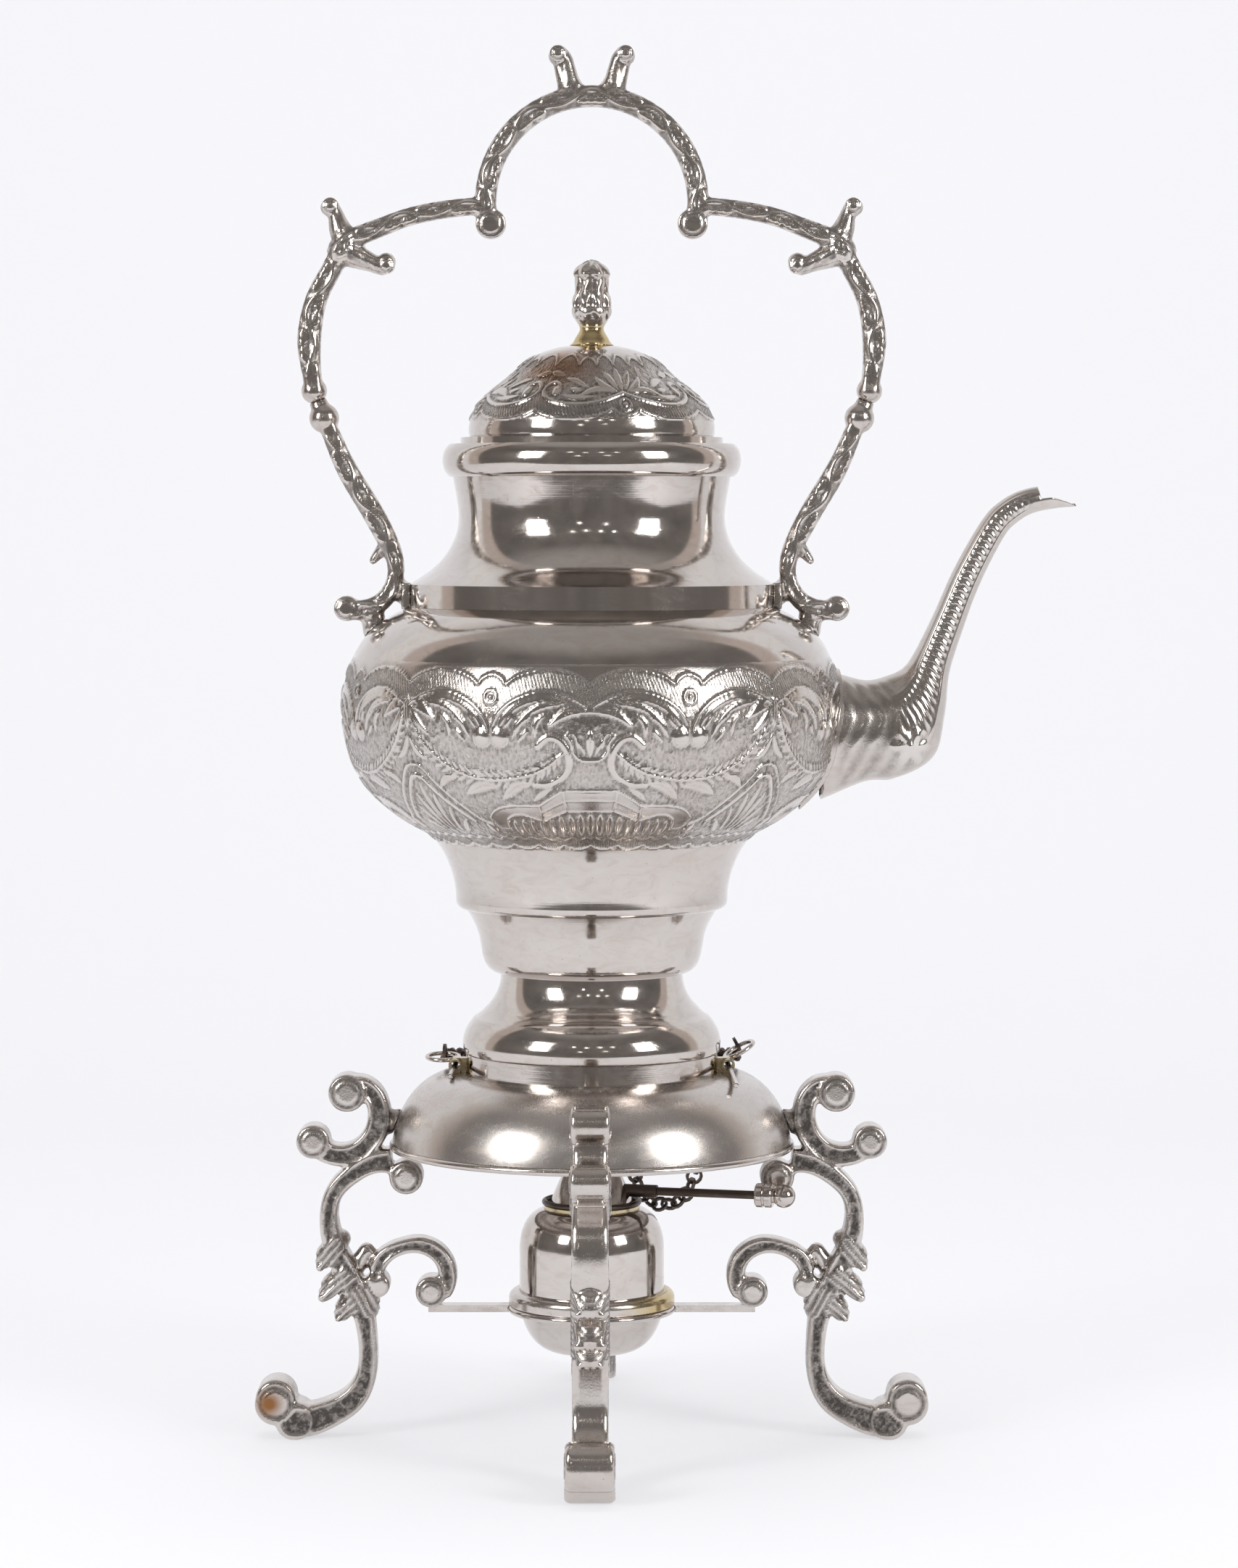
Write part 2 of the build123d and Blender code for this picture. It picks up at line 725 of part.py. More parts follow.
with BuildPart() as lid_finial:
    revolve(core(finial_outline), axis=Axis.Z)
    with PolarLocations(finial_r + 0.8, flute_count):
        with Locations((0, 0, finial_z + 18.0)):
            Cylinder(flute_r, 9.0, mode=Mode.SUBTRACT)
    with Locations((0, 0, finial_z + 1)):
        Cylinder(stud_r, stud_length + 1, align=(Align.CENTER, Align.CENTER, Align.MAX))
lid_finial.part.label = "lid_finial"
export_step(lid_finial.part, "parts/lid_finial.step")

with BuildPart() as finial_nut:
    with BuildSketch(Plane.XY.offset(finial_z - wall - solder_gap - nut_thick)):
        RegularPolygon(nut_across / 2, 6, major_radius=False)
        Circle(stud_r + stud_gap / 2, mode=Mode.SUBTRACT)
    extrude(amount=nut_thick)
finial_nut.part.label = "finial_nut"
export_step(finial_nut.part, "parts/finial_nut.step")

# Spout: written from the belly as out, up, half height, half width and heading
spout_stations = [
    (-11.0, -7.3, 25.5, 18.0, -9),
    (7.0, -4.6, 18.6, 15.0, 2),
    (16.0, -3.9, 18.2, 13.8, 10),
    (25.7, 0.8, 16.7, 12.4, 27),
    (30.2, 9.8, 11.3, 10.4, 40),
    (33.0, 20.1, 7.4, 8.5, 56),
    (39.2, 35.9, 5.9, 6.6, 67),
    (45.7, 51.5, 5.4, 5.8, 64),
    (54.8, 68.1, 5.0, 5.2, 55),
    (60.6, 74.2, 4.9, 5.0, 38),
    (67.5, 77.9, 4.6, 4.7, 19),
    (76.5, 79.6, 4.3, 4.4, 7),
    (spout_reach, 80.2, 4.1, 4.2, 4),
]


def spout_span(first, second, grow):
    """The spout's outer form between two stations, grown all round."""
    with BuildPart() as span:
        for out, up, half_height, half_width, heading in (first, second):
            forward = (cos(radians(heading)), 0, sin(radians(heading)))
            with BuildSketch(Plane((belly_r + out, 0, belly_z + up), x_dir=(0, 1, 0), z_dir=forward)):
                Ellipse(half_width + grow, half_height + grow)
        loft(ruled=True)
    return span.part


def spout_ring(first, second):
    """The spout's wall between two stations."""
    with BuildPart() as ring:
        add(spout_span(first, second, 0))
        add(spout_span(first, second, -spout_wall), mode=Mode.SUBTRACT)
    return ring.part


body_room = core(shifted(bulb_outline, -solder_gap))
with BuildPart() as spout:
    add(spout_ring(*spout_stations[:2]))
    revolve(body_room, axis=Axis.Z, mode=Mode.SUBTRACT)
    for first, second in zip(spout_stations[1:], spout_stations[2:]):
        add(spout_ring(first, second))
    # The upper lip stops short, and the lower one runs on as a pointed tongue
    with BuildSketch(Plane.XZ):
        with BuildLine():
            Polyline(
                (belly_r + lip_cut, belly_z + 90),
                (belly_r + lip_cut, belly_z + 77.9),
                (belly_r + spout_reach + 5, belly_z + 76.2),
                (belly_r + spout_reach + 5, belly_z + 90),
                close=True,
            )
        make_face()
    extrude(amount=20, both=True, mode=Mode.SUBTRACT)
    with BuildSketch(Plane.XY.offset(belly_z + 60)):
        for side in (-1, 1):
            with BuildLine():
                Polyline(
                    (belly_r + lip_cut + 4, side * 5),
                    (belly_r + spout_reach + 1, side * 0.3),
                    (belly_r + spout_reach + 1, side * 5),
                    close=True,
                )
            make_face()
    extrude(amount=40, mode=Mode.SUBTRACT)
spout.part.label = "spout"
export_step(spout.part, "parts/spout.step")

# The spout's collar is a saddle against the body, round the spout's root
with BuildPart() as spout_collar:
    add(spout_span(*spout_stations[:2], collar_margin))
    revolve(core(shifted(bulb_outline, -solder_gap - collar_thick)), axis=Axis.Z, mode=Mode.INTERSECT)
    revolve(body_room, axis=Axis.Z, mode=Mode.SUBTRACT)
    add(spout_span(*spout_stations[:2], solder_gap), mode=Mode.SUBTRACT)
spout_collar.part.label = "spout_collar"
export_step(spout_collar.part, "parts/spout_collar.step")

# Handle: the bail runs from knuckle to knuckle over the top, an arm goes down from each
arch = [
    (bail_r * cos(radians(turn)), bail_z + bail_r * sin(radians(turn)), bar_width)
    for turn in range(-12, 193, 17)
]
shoulder_bar = placed(
    [(0.0, -1.2, 6.3), (9.2, -1.9, 6.3), (19.0, -3.3, 6.4), (29.4, -5.8, 6.4), (39.8, -9.8, 6.8)]
    + [(46.3, -12.4, 7.2), (50.6, -14.9, 7.4)],
    bail_r,
    bail_z,
)
side_bar = placed(
    [(47.9, -11.6, 6.4), (51.6, -16.6, 7.2), (55.6, -24.4, 7.2), (60.0, -32.6, 7.6)]
    + [(62.6, -41.7, 8.2), (63.5, -50.3, 8.5), (62.7, -60.7, 7.0), (61.7, -67.9, 6.6)],
    bail_r,
    bail_z,
)
upper_knuckle = (bail_r + 61.7, bail_z - 67.9)
lower_knuckle = (bail_r + 58.1, bail_z - 77.7)
arm_bar = [
    (*lower_knuckle, 6.4),
    (bail_r + 55.5, bail_z - 83.5, 6.5),
    (bail_r + 52.8, bail_z - 90.0, 7.0),
    (bail_r + 48.9, bail_z - 97.9, 7.6),
    (bail_r + 44.4, bail_z - 105.4, 7.8),
] + placed(
    [(12.3, 23.5, 7.8), (7.9, 15.0, 7.2), (5.3, 7.5, 6.2), (5.9, 0.3, 6.0)]
    + [(9.7, -5.9, 6.6), (15.7, -9.1, 7.2), (22.8, -8.8, 7.4)],
    band_r,
    shoulder_z,
)
ear_stems = [
    ((8.0, bail_r - 0.5), (12.4, bail_r + 14.8), 3.6, 2.1),
    ((bail_r + 49.6, -13.0), (bail_r + 55.2, -1.6), 3.6, 2.1),
    ((bail_r + 49.0, -19.0), (bail_r + 36.6, -22.4), 3.4, 2.2),
]
bail_lobes = [(12.2, bail_r + 15.3, ear_r), (bail_r - 1.9, -7.8, cusp_r)]
bail_lobes += [(bail_r + 55.8, -1.3, ear_r), (bail_r + 35.6, -22.8, ear_r)]

# The casting beside the arch is made once and mirrored
with BuildPart() as bail_side:
    for bar in (shoulder_bar, side_bar):
        add(cast_bar(bar, bar_depth, edge_round))
    for (x0, z0), (x1, z1), root_r, tip_r in ear_stems:
        add(finger((x0, 0, bail_z + z0), (x1, 0, bail_z + z1), root_r, tip_r))
    for x, z, radius in bail_lobes:
        add(lobe(x, bail_z + z, radius, bar_depth - 0.6, edge_round - 0.7))
    with Locations((upper_knuckle[0], 0, upper_knuckle[1])):
        Sphere(small_knuckle_r)
with BuildPart() as handle_bail:
    add(cast_bar(arch, bar_depth, edge_round + 0.3))
    add(bail_side.part)
    mirror(bail_side.part, about=Plane.YZ)
handle_bail.part.label = "handle_bail"
export_step(handle_bail.part, "parts/handle_bail.step")

neck_room = core(shifted(neck_outline, -solder_gap))
with BuildPart() as handle_arm:
    add(cast_bar(arm_bar, bar_depth, edge_round))
    with Locations((lower_knuckle[0], 0, lower_knuckle[1])):
        Sphere(large_knuckle_r)
    knuckle_neck = Vector(upper_knuckle[0], 0, upper_knuckle[1])
    knuckle_root = Vector(lower_knuckle[0], 0, lower_knuckle[1])
    add(finger(knuckle_root, knuckle_neck, knuckle_neck_r + 0.6, knuckle_neck_r))
    add(lobe(band_r + 22.8, shoulder_z - 8.8, arm_lobe_r, bar_depth + 0.6, edge_round - 0.5))
    add(finger((band_r + 8.4, 0, shoulder_z + 14.5), (band_r + 13.4, 0, shoulder_z + 8.4), 3.0, 1.5))
    # Solder plate against the band, and the blob under the foot of the arm
    with Locations((band_r, 0, shoulder_z + 0.5)):
        Box(2 * tab_thick, tab_width, tab_height, align=(Align.CENTER, Align.CENTER, Align.MAX))
    add(finger((band_r + 14, 0, shoulder_z - 9), (band_r + 12.4, 0, shoulder_z - 17), 4.2, 4.6))
    add(finger((band_r + 5.5, 0, shoulder_z - 1), (band_r + 2, 0, shoulder_z - 3.6), 4.4, 4.0))
    revolve(neck_room, axis=Axis.Z, mode=Mode.SUBTRACT)
    revolve(body_room, axis=Axis.Z, mode=Mode.SUBTRACT)
    with Locations(knuckle_neck):
        Sphere(small_knuckle_r + solder_gap, mode=Mode.SUBTRACT)
for side in ("left", "right"):
    with BuildPart() as side_arm:
        if side == "right":
            add(handle_arm.part)
        else:
            mirror(handle_arm.part, about=Plane.YZ)
    side_arm.part.label = f"handle_arm_{side}"
    export_step(side_arm.part, f"parts/{side_arm.part.label}.step")

# Spirit lamp
with BuildPart() as lamp_reservoir:
    revolve(sheet(lamp_outline, wall), axis=Axis.Z)
lamp_reservoir.part.label = "lamp_reservoir"
export_step(lamp_reservoir.part, "parts/lamp_reservoir.step")

with BuildPart() as lamp_bead:
    with BuildSketch(Plane.XZ):
        with Locations((lamp_r + solder_gap, lamp_seat_z + seat_gap)):
            Rectangle(bead_r - lamp_r - solder_gap, bead_height, align=(Align.MIN, Align.MIN))
        fillet(vertices().group_by(Axis.X)[-1].sort_by(Axis.Y)[-1], (bead_r - lamp_r) * 0.75)
        fillet(vertices().group_by(Axis.X)[-1].sort_by(Axis.Y)[0], 0.5)
    revolve(axis=Axis.Z)
lamp_bead.part.label = "lamp_bead"
export_step(lamp_bead.part, "parts/lamp_bead.step")

# Burner: its plate covers the mouth of the lamp, and its neck screws down into it
with BuildPart() as burner_plate:
    with BuildSketch(Plane.XY.offset(lamp_shoulder_z + seat_gap)):
        Circle(plate_r)
        Circle(wick_tube_r + solder_gap, mode=Mode.SUBTRACT)
    extrude(amount=plate_thick - seat_gap)
    with BuildSketch(Plane.XY.offset(lamp_shoulder_z - screw_depth)):
        Circle(screw_r)
        Circle(screw_r - wall, mode=Mode.SUBTRACT)
    extrude(amount=screw_depth + plate_thick)
burner_plate.part.label = "burner_plate"
export_step(burner_plate.part, "parts/burner_plate.step")

with BuildPart() as burner_collar:
    with Locations((0, 0, plate_z + burner_wire / 2 + solder_gap)):
        Torus(burner_wire_r, burner_wire / 2)
burner_collar.part.label = "burner_collar"
export_step(burner_collar.part, "parts/burner_collar.step")

with BuildPart() as wick_tube:
    with BuildSketch(Plane.XY.offset(plate_z - wick_tube_depth)):
        Circle(wick_tube_r)
        Circle(wick_tube_r - thin_wall, mode=Mode.SUBTRACT)
    extrude(amount=wick_tube_depth + wick_tube_rise)
wick_tube.part.label = "wick_tube"
export_step(wick_tube.part, "parts/wick_tube.step")

with BuildPart() as wick:
    with Locations((0, 0, plate_z + wick_tube_rise + wick_show)):
        Cylinder(
            wick_tube_r - thin_wall - wick_gap, wick_length,
            align=(Align.CENTER, Align.CENTER, Align.MAX),
        )
    fillet(wick.edges().group_by(Axis.Z)[-1], 0.8)
wick.part.label = "wick"
export_step(wick.part, "parts/wick.step")

# Snuffer: a hollow cone over the wick, with a rod and a knob
handle_turn = Rotation(0, 0, snuffer_turn)
with BuildPart() as snuffer_cone:
    revolve(sheet(cone_outline, thin_wall), axis=Axis.Z)
    split(bisect_by=Plane.XY.offset(plate_z + seat_gap), keep=Keep.TOP)
snuffer_cone.part.label = "snuffer_cone"
export_step(snuffer_cone.part, "parts/snuffer_cone.step")

with BuildPart() as snuffer_socket:
    with Locations(handle_turn * Pos(0, 0, snuffer_z) * Rotation(0, 90, 0)):
        Cylinder(socket_r, socket_end, align=(Align.CENTER, Align.CENTER, Align.MIN))
    revolve(core(shifted(cone_outline, -solder_gap)), axis=Axis.Z, mode=Mode.SUBTRACT)
    with Locations(handle_turn * Pos(socket_end - rod_grip, 0, snuffer_z) * Rotation(0, 90, 0)):
        Cylinder(
            rod_r + solder_gap, 2 * rod_grip, align=(Align.CENTER, Align.CENTER, Align.MIN),
            mode=Mode.SUBTRACT,
        )
snuffer_socket.part.label = "snuffer_socket"
export_step(snuffer_socket.part, "parts/snuffer_socket.step")

rod_start = socket_end - rod_grip + solder_gap
with BuildPart() as snuffer_rod:
    with Locations(handle_turn * Pos(rod_start, 0, snuffer_z) * Rotation(0, 90, 0)):
        Cylinder(rod_r, rod_end - rod_start + rod_grip, align=(Align.CENTER, Align.CENTER, Align.MIN))
snuffer_rod.part.label = "snuffer_rod"
export_step(snuffer_rod.part, "parts/snuffer_rod.step")

grip_end = rod_end + grip_length
ball_x = grip_end + ball_r - 0.3
with BuildPart() as snuffer_knob:
    with BuildSketch(Plane.XZ):
        with Locations((rod_end, 0)):
            Rectangle(grip_length, grip_r, align=(Align.MIN, Align.MIN))
        fillet(vertices().group_by(Axis.Y)[-1], 0.8)
        with Locations((grip_end - 1, 0)):
            Rectangle(3, grip_neck_r, align=(Align.MIN, Align.MIN))
        with Locations((rod_end + grip_length / 2, grip_r)):
            Circle(0.5, mode=Mode.SUBTRACT)
        with Locations((ball_x, 0)):
            Circle(ball_r)
        with Locations((rod_end, 0)):
            Rectangle(3 * grip_length, 2 * grip_r, align=(Align.MIN, Align.MAX), mode=Mode.SUBTRACT)
            Rectangle(
                2 * (rod_grip + solder_gap), 2 * (rod_r + solder_gap),
                align=(Align.CENTER, Align.CENTER), mode=Mode.SUBTRACT,
            )
    revolve(axis=Axis.X)
placed_knob = handle_turn * Pos(0, 0, snuffer_z) * snuffer_knob.part
placed_knob.label = "snuffer_knob"
export_step(placed_knob, "parts/snuffer_knob.step")
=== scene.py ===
"""Looks for a spirit kettle on its stand: worn silver-coloured plate, chased bands and cast scrolls."""

import json
from math import cos, pi, radians, sin

import bmesh
import bpy
import numpy as np
from mathutils import Matrix, Vector

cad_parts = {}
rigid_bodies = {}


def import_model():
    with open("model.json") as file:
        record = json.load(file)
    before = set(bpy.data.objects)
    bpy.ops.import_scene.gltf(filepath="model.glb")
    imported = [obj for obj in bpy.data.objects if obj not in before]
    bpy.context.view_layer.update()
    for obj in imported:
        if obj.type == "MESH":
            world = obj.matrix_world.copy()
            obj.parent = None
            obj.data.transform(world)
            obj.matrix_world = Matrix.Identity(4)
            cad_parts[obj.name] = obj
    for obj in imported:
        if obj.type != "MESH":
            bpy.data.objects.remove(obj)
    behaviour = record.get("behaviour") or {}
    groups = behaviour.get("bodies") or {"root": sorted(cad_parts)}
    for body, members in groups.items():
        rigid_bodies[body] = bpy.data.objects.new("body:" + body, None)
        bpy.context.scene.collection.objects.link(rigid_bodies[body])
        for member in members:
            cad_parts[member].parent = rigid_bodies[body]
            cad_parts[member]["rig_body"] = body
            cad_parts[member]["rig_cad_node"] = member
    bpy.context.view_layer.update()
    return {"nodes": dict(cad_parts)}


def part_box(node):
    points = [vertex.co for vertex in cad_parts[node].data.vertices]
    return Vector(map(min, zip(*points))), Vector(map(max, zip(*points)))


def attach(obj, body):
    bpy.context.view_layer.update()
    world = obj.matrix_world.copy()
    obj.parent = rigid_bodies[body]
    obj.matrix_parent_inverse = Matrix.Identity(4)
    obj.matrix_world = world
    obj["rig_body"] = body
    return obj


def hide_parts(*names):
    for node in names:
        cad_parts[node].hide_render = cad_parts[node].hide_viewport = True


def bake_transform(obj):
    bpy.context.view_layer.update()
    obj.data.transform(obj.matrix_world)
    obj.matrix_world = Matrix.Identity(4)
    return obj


bl_info = {
    "name": "Spirit Kettle Looks",
    "version": (1, 0, 0),
    "blender": (4, 5, 0),
    "location": "View3D > Sidebar > Kettle",
    "description": "Plate, relief, castings and studio for a spirit kettle on its stand",
    "category": "Object",
}

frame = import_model()

MM = 0.001
PHOTO_HEIGHT, HORIZON = 2163, 700  # in the photo's pixels, the horizon from the top

# Places in millimetres, from the frame where it gives them and set beside it
belly_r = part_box("body_bulb")[1].x / MM
bulb_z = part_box("body_bulb")[0].z / MM
belly_z = bulb_z + 68.0
shoulder_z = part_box("neck_shoulder")[0].z / MM + 8.2
band_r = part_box("neck_shoulder")[1].x / MM
finial_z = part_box("lid_dome")[1].z / MM
bail_z = shoulder_z + 137.3
bail_r = 38.2
rim_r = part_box("dome_rim")[1].x / MM - 1.3
rim_z = (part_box("dome_rim")[0].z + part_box("dome_rim")[1].z) / 2 / MM
knot_r = 82.0
knot_z = 46.2
foot_r = 107.0


def tint(name, description, colour):
    """A colour that a user would change."""
    return bpy.props.FloatVectorProperty(
        name=name, description=description, subtype="COLOR", size=4, default=(*colour, 1.0), min=0, max=1
    )


def metres(name, description, default, least=0.0):
    """A length in metres that a user would change."""
    return bpy.props.FloatProperty(
        name=name, description=description, default=default, min=least, unit="LENGTH"
    )


class KettleFinish(bpy.types.PropertyGroup):
    """Colours and finishes that a user would change."""

    plate: tint("Plate", "Silver-coloured plate", (0.64, 0.60, 0.57))
    tarnish: tint("Tarnish", "Plate where it has yellowed", (0.56, 0.49, 0.44))
    brass: tint("Brass", "Brass under the plate", (0.60, 0.48, 0.27))
    # The colour of the hollows: dark tarnish and painted shade
    patina_and_shade: tint("Patina", "Dark dirt in the recesses", (0.060, 0.053, 0.047))
    iron: tint("Iron", "Oxidised chain and rod", (0.075, 0.055, 0.045))
    rust: tint("Rust", "Brown spots and the stain on the lid", (0.30, 0.14, 0.055))
    cotton: tint("Cotton", "Wick", (0.62, 0.56, 0.45))


class KettleSizes(bpy.types.PropertyGroup):
    """Sizes of the relief, in metres."""

    relief: bpy.props.FloatProperty(
        name="Relief", description="Share of full height in the chased bands", default=1.2, min=0, max=2,
    )
    skin: metres("Skin", "How far the chased ground stands proud of the shell", 0.00012)
    cast_voxel: metres("Casting grid", "Cell of the remeshed castings", 0.00068, 0.0003)
    channel: metres("Channel", "Depth of the channels in the legs", 0.0010)
    foliage: metres("Foliage", "Height of the leaves on the handle", 0.00095)


class KettleStudio(bpy.types.PropertyGroup):
    """The floor, the lamps and the camera."""

    paper: tint("Paper", "Floor and backdrop", (0.90, 0.90, 0.915))
    softbox: bpy.props.FloatProperty(
        name="Softboxes", description="Power of each of the two softboxes", default=10.0, min=0, unit="POWER",
    )
    distance: metres("Distance", "From the camera to the axis of the kettle", 1.591)
    eye: metres("Eye level", "Height of the camera", 0.334)
    lens: bpy.props.FloatProperty(name="Lens", description="Focal length", default=101.5, unit="CAMERA")


# Small helpers for meshes


def select_only(*pieces):
    """Selects these objects alone, with the first one active."""
    if bpy.context.object and bpy.context.object.mode != "OBJECT":
        bpy.ops.object.mode_set(mode="OBJECT")
    bpy.ops.object.select_all(action="DESELECT")
    for piece in pieces:
        piece.select_set(True)
    bpy.context.view_layer.objects.active = pieces[0]


def apply_modifiers(piece):
    """Applies every modifier of a piece, in order."""
    select_only(piece)
    for modifier in list(piece.modifiers):
        bpy.ops.object.modifier_apply(modifier=modifier.name)


def corners(mesh):
    """The vertex places of a mesh, in millimetres."""
    flat = np.empty(len(mesh.vertices) * 3)
    mesh.vertices.foreach_get("co", flat)
    return flat.reshape(-1, 3) / MM


def put_corners(mesh, places):
    """Moves the vertices of a mesh to these places, in millimetres."""
    mesh.vertices.foreach_set("co", (places * MM).ravel())
    mesh.update()


def corner_normals(mesh):
    """The vertex normals of a mesh."""
    flat = np.empty(len(mesh.vertices) * 3)
    mesh.vertex_normals.foreach_get("vector", flat)
    return flat.reshape(-1, 3)


def put_mask(mesh, name, values):
    """Stores one value per vertex, for a material to read."""
    layer = mesh.attributes.get(name) or mesh.attributes.new(name, "FLOAT", "POINT")
    layer.data.foreach_set("value", np.clip(values, 0, 1).astype(np.float32))


def finish_piece(piece, body, slot, material, *nodes):
    """Gives a new piece its body and its material; the slot is not used."""
    piece.data.materials.clear()
    piece.data.materials.append(material)
    select_only(piece)
    bpy.ops.object.shade_smooth()
    if nodes:
        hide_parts(*nodes)
    if body:
        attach(piece, body)


def copy_of(node, name):
    """A merged copy of a CAD node, with no link to it."""
    source = frame["nodes"][node]
    piece = source.copy()
    piece.data = source.data.copy()
    piece.name = piece.data.name = name
    piece.parent = None
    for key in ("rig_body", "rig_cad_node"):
        if key in piece:
            del piece[key]
    bpy.context.scene.collection.objects.link(piece)
    select_only(piece)
    bpy.ops.mesh.customdata_custom_splitnormals_clear()
    bpy.ops.object.mode_set(mode="EDIT")
    bpy.ops.mesh.select_all(action="SELECT")
    bpy.ops.mesh.remove_doubles(threshold=0.000002)
    bpy.ops.object.mode_set(mode="OBJECT")
    return piece


def add_limbs(piece, limbs, turn, depth):
    """Adds tapering limbs to a casting, as beads that the remesh fuses."""
    shape = bmesh.new()
    for limb in limbs:
        for x, z, width in flowing(limb, 4):
            place = Matrix.Rotation(radians(turn), 4, "Z") @ Matrix.Translation((x * MM, 0, z * MM))
            place = place @ Matrix.Diagonal((1, depth, 1, 1))
            bmesh.ops.create_icosphere(shape, subdivisions=2, radius=width / 2 * MM, matrix=place)
    shape.from_mesh(piece.data)
    shape.to_mesh(piece.data)
    shape.free()


def remeshed(node, name, voxel, rounds, limbs=(), turn=0, depth=1.2):
    """A copy of a casting on an even grid, ready for its relief."""
    piece = copy_of(node, name)
    add_limbs(piece, limbs, turn, depth)
    remesh = piece.modifiers.new("Grid", "REMESH")
    remesh.mode = "VOXEL"
    remesh.voxel_size = voxel
    smooth = piece.modifiers.new("Soften", "SMOOTH")
    smooth.factor = 0.5
    smooth.iterations = rounds
    apply_modifiers(piece)
    return piece


# Lines and strokes of the relief, all in millimetres


def flowing(points, per_span=8):
    """A smooth line through given points."""
    line = np.array(points, float)
    if len(line) == 2:
        return line
    ends = np.vstack([2 * line[0] - line[1], line, 2 * line[-1] - line[-2]])
    t = np.linspace(0, 1, per_span, endpoint=False)[:, None]
    spans = [
        0.5 * (2 * b + (c - a) * t + (2 * a - 5 * b + 4 * c - d) * t**2 + (3 * b - a - 3 * c + d) * t**3)
        for a, b, c, d in zip(ends, ends[1:], ends[2:], ends[3:])
    ]
    return np.vstack(spans + [line[-1:]])


def nearest(points, line):
    """The signed gap from each point to a line, and its place along the line from 0 to 1."""
    gap = np.full(len(points), 1e9)
    place, side = np.zeros(len(points)), np.ones(len(points))
    lengths = np.linalg.norm(np.diff(line, axis=0), axis=1)
    run = np.concatenate([[0], np.cumsum(lengths)])
    for i, (a, b) in enumerate(zip(line[:-1], line[1:])):
        step = b - a
        t = np.clip(((points - a) @ step) / max(step @ step, 1e-12), 0, 1)
        away = points - (a + t[:, None] * step)
        far = np.hypot(away[:, 0], away[:, 1])
        closer = far < gap
        gap[closer] = far[closer]
        place[closer] = (run[i] + t[closer] * lengths[i]) / run[-1]
        cross = step[0] * away[:, 1] - step[1] * away[:, 0]
        side[closer] = np.where(cross[closer] < 0, -1, 1)
    return gap * side, place


class Relief:
    """A height for each point of a band, raised by strokes."""

    def __init__(self, points):
        self.points = points
        self.height = np.zeros(len(points))

    def raise_dome(self, share, height):
        """A half-round rise where the share of the half width is under 1."""
        np.maximum(self.height, height * np.sqrt(np.clip(1 - share**2, 0, 1)), out=self.height)

    def ridge(self, line, width, height):
        """A round wire along a line."""
        gap, _ = nearest(self.points, flowing(line))
        self.raise_dome(gap / (width / 2), height)

    def leaf(self, line, width, height):
        """A leaf that swells and ends in points, with a vein down its middle."""
        gap, place = nearest(self.points, flowing(line))
        half = width / 2 * np.clip(np.sin(pi * np.clip(place, 0.02, 0.98)), 0, 1) ** 0.7
        dome = np.clip(1 - (gap / np.maximum(half, 0.05)) ** 2, 0, 1) ** 0.6
        vein = 0.35 * np.exp(-((gap / 0.3) ** 2))
        np.maximum(self.height, height * dome * (1 - vein), out=self.height)

    def knob(self, centre, radius, height):
        """A half-round boss."""
        self.raise_dome(np.hypot(*(self.points - centre).T) / radius, height)

    def ring(self, centre, radius, width, height):
        """A round wire in a circle."""
        self.raise_dome(np.abs(np.hypot(*(self.points - centre).T) - radius) / (width / 2), height)


def inside(points, outline):
    """Whether each point lies inside an outline."""
    x, z = points.T
    found = np.zeros(len(points), bool)
    for (x0, z0), (x1, z1) in zip(outline, outline[1:] + outline[:1]):
        if z0 != z1:
            found ^= ((z0 > z) != (z1 > z)) & (x < (x1 - x0) * (z - z0) / (z1 - z0) + x0)
    return found


def mirrored(line, middle):
    """A line turned over about an upright line through the middle."""
    return [(2 * middle - x, z) for x, z in line]


def scallops(cusps, cusp_z, rises, count=9):
    """A border of arcs between cusps."""
    line = []
    for (x0, x1), rise in zip(zip(cusps, cusps[1:]), rises):
        for i in range(count):
            t = i / count
            line.append((x0 + (x1 - x0) * t, cusp_z + rise * sin(pi * t) ** 0.75))
    return line + [(cusps[-1], cusp_z)]


def softened(values, rows, columns, rounds):
    """Values on a grid, averaged with their neighbours."""
    field = values.reshape(rows, columns).copy()
    for _ in range(rounds):
        padded = np.pad(field, 1, mode="edge")
        field = (
            padded[:-2, 1:-1] + padded[2:, 1:-1] + padded[1:-1, :-2] + padded[1:-1, 2:] + 2 * field
        ) / 6
    return field.ravel()


# Chased band of the bulb. A half panel is an eighth of the round, measured along the belly.
BAND_RADIUS = 89.5
HALF_PANEL = pi / 4 * BAND_RADIUS
RING_LINE = HALF_PANEL / 2
BAND_FOOT, BAND_TOP = 214.0, 281.5
LID_HALF_PANEL = 33.0
LID_BAND_FOOT, LID_BAND_TOP = 364.0, 389.6
PANEL_SEED = 7
GRAIN_DEPTH, HATCHED_GRAIN = 0.5, 0.35
HATCH_PITCH, HATCH_DEPTH, HATCH_LEAN = 1.25, 0.10, 0.35
EDGE_ROWS, EDGE_TUCK = 3, 0.15  # the rows at a band's edge that sink into the shell, and how far


def festoon_barbs(stem, count, length, spread):
    """Short slanting leaves along both sides of a stem."""
    line = flowing(stem)
    found = []
    for i in range(count):
        at = 1 + int((len(line) - 4) * (i + 0.5) / count)
        along = line[at + 1] - line[at - 1]
        along = along / np.linalg.norm(along)
        reach = length * (0.55 + 0.45 * sin(pi * (i + 0.5) / count))
        for side in (-1, 1):
            turn = side * radians(spread)
            lean = np.array(
                [along[0] * cos(turn) - along[1] * sin(turn), along[0] * sin(turn) + along[1] * cos(turn)]
            )
            found.append([tuple(line[at]), tuple(line[at] + reach * lean)])
    return found


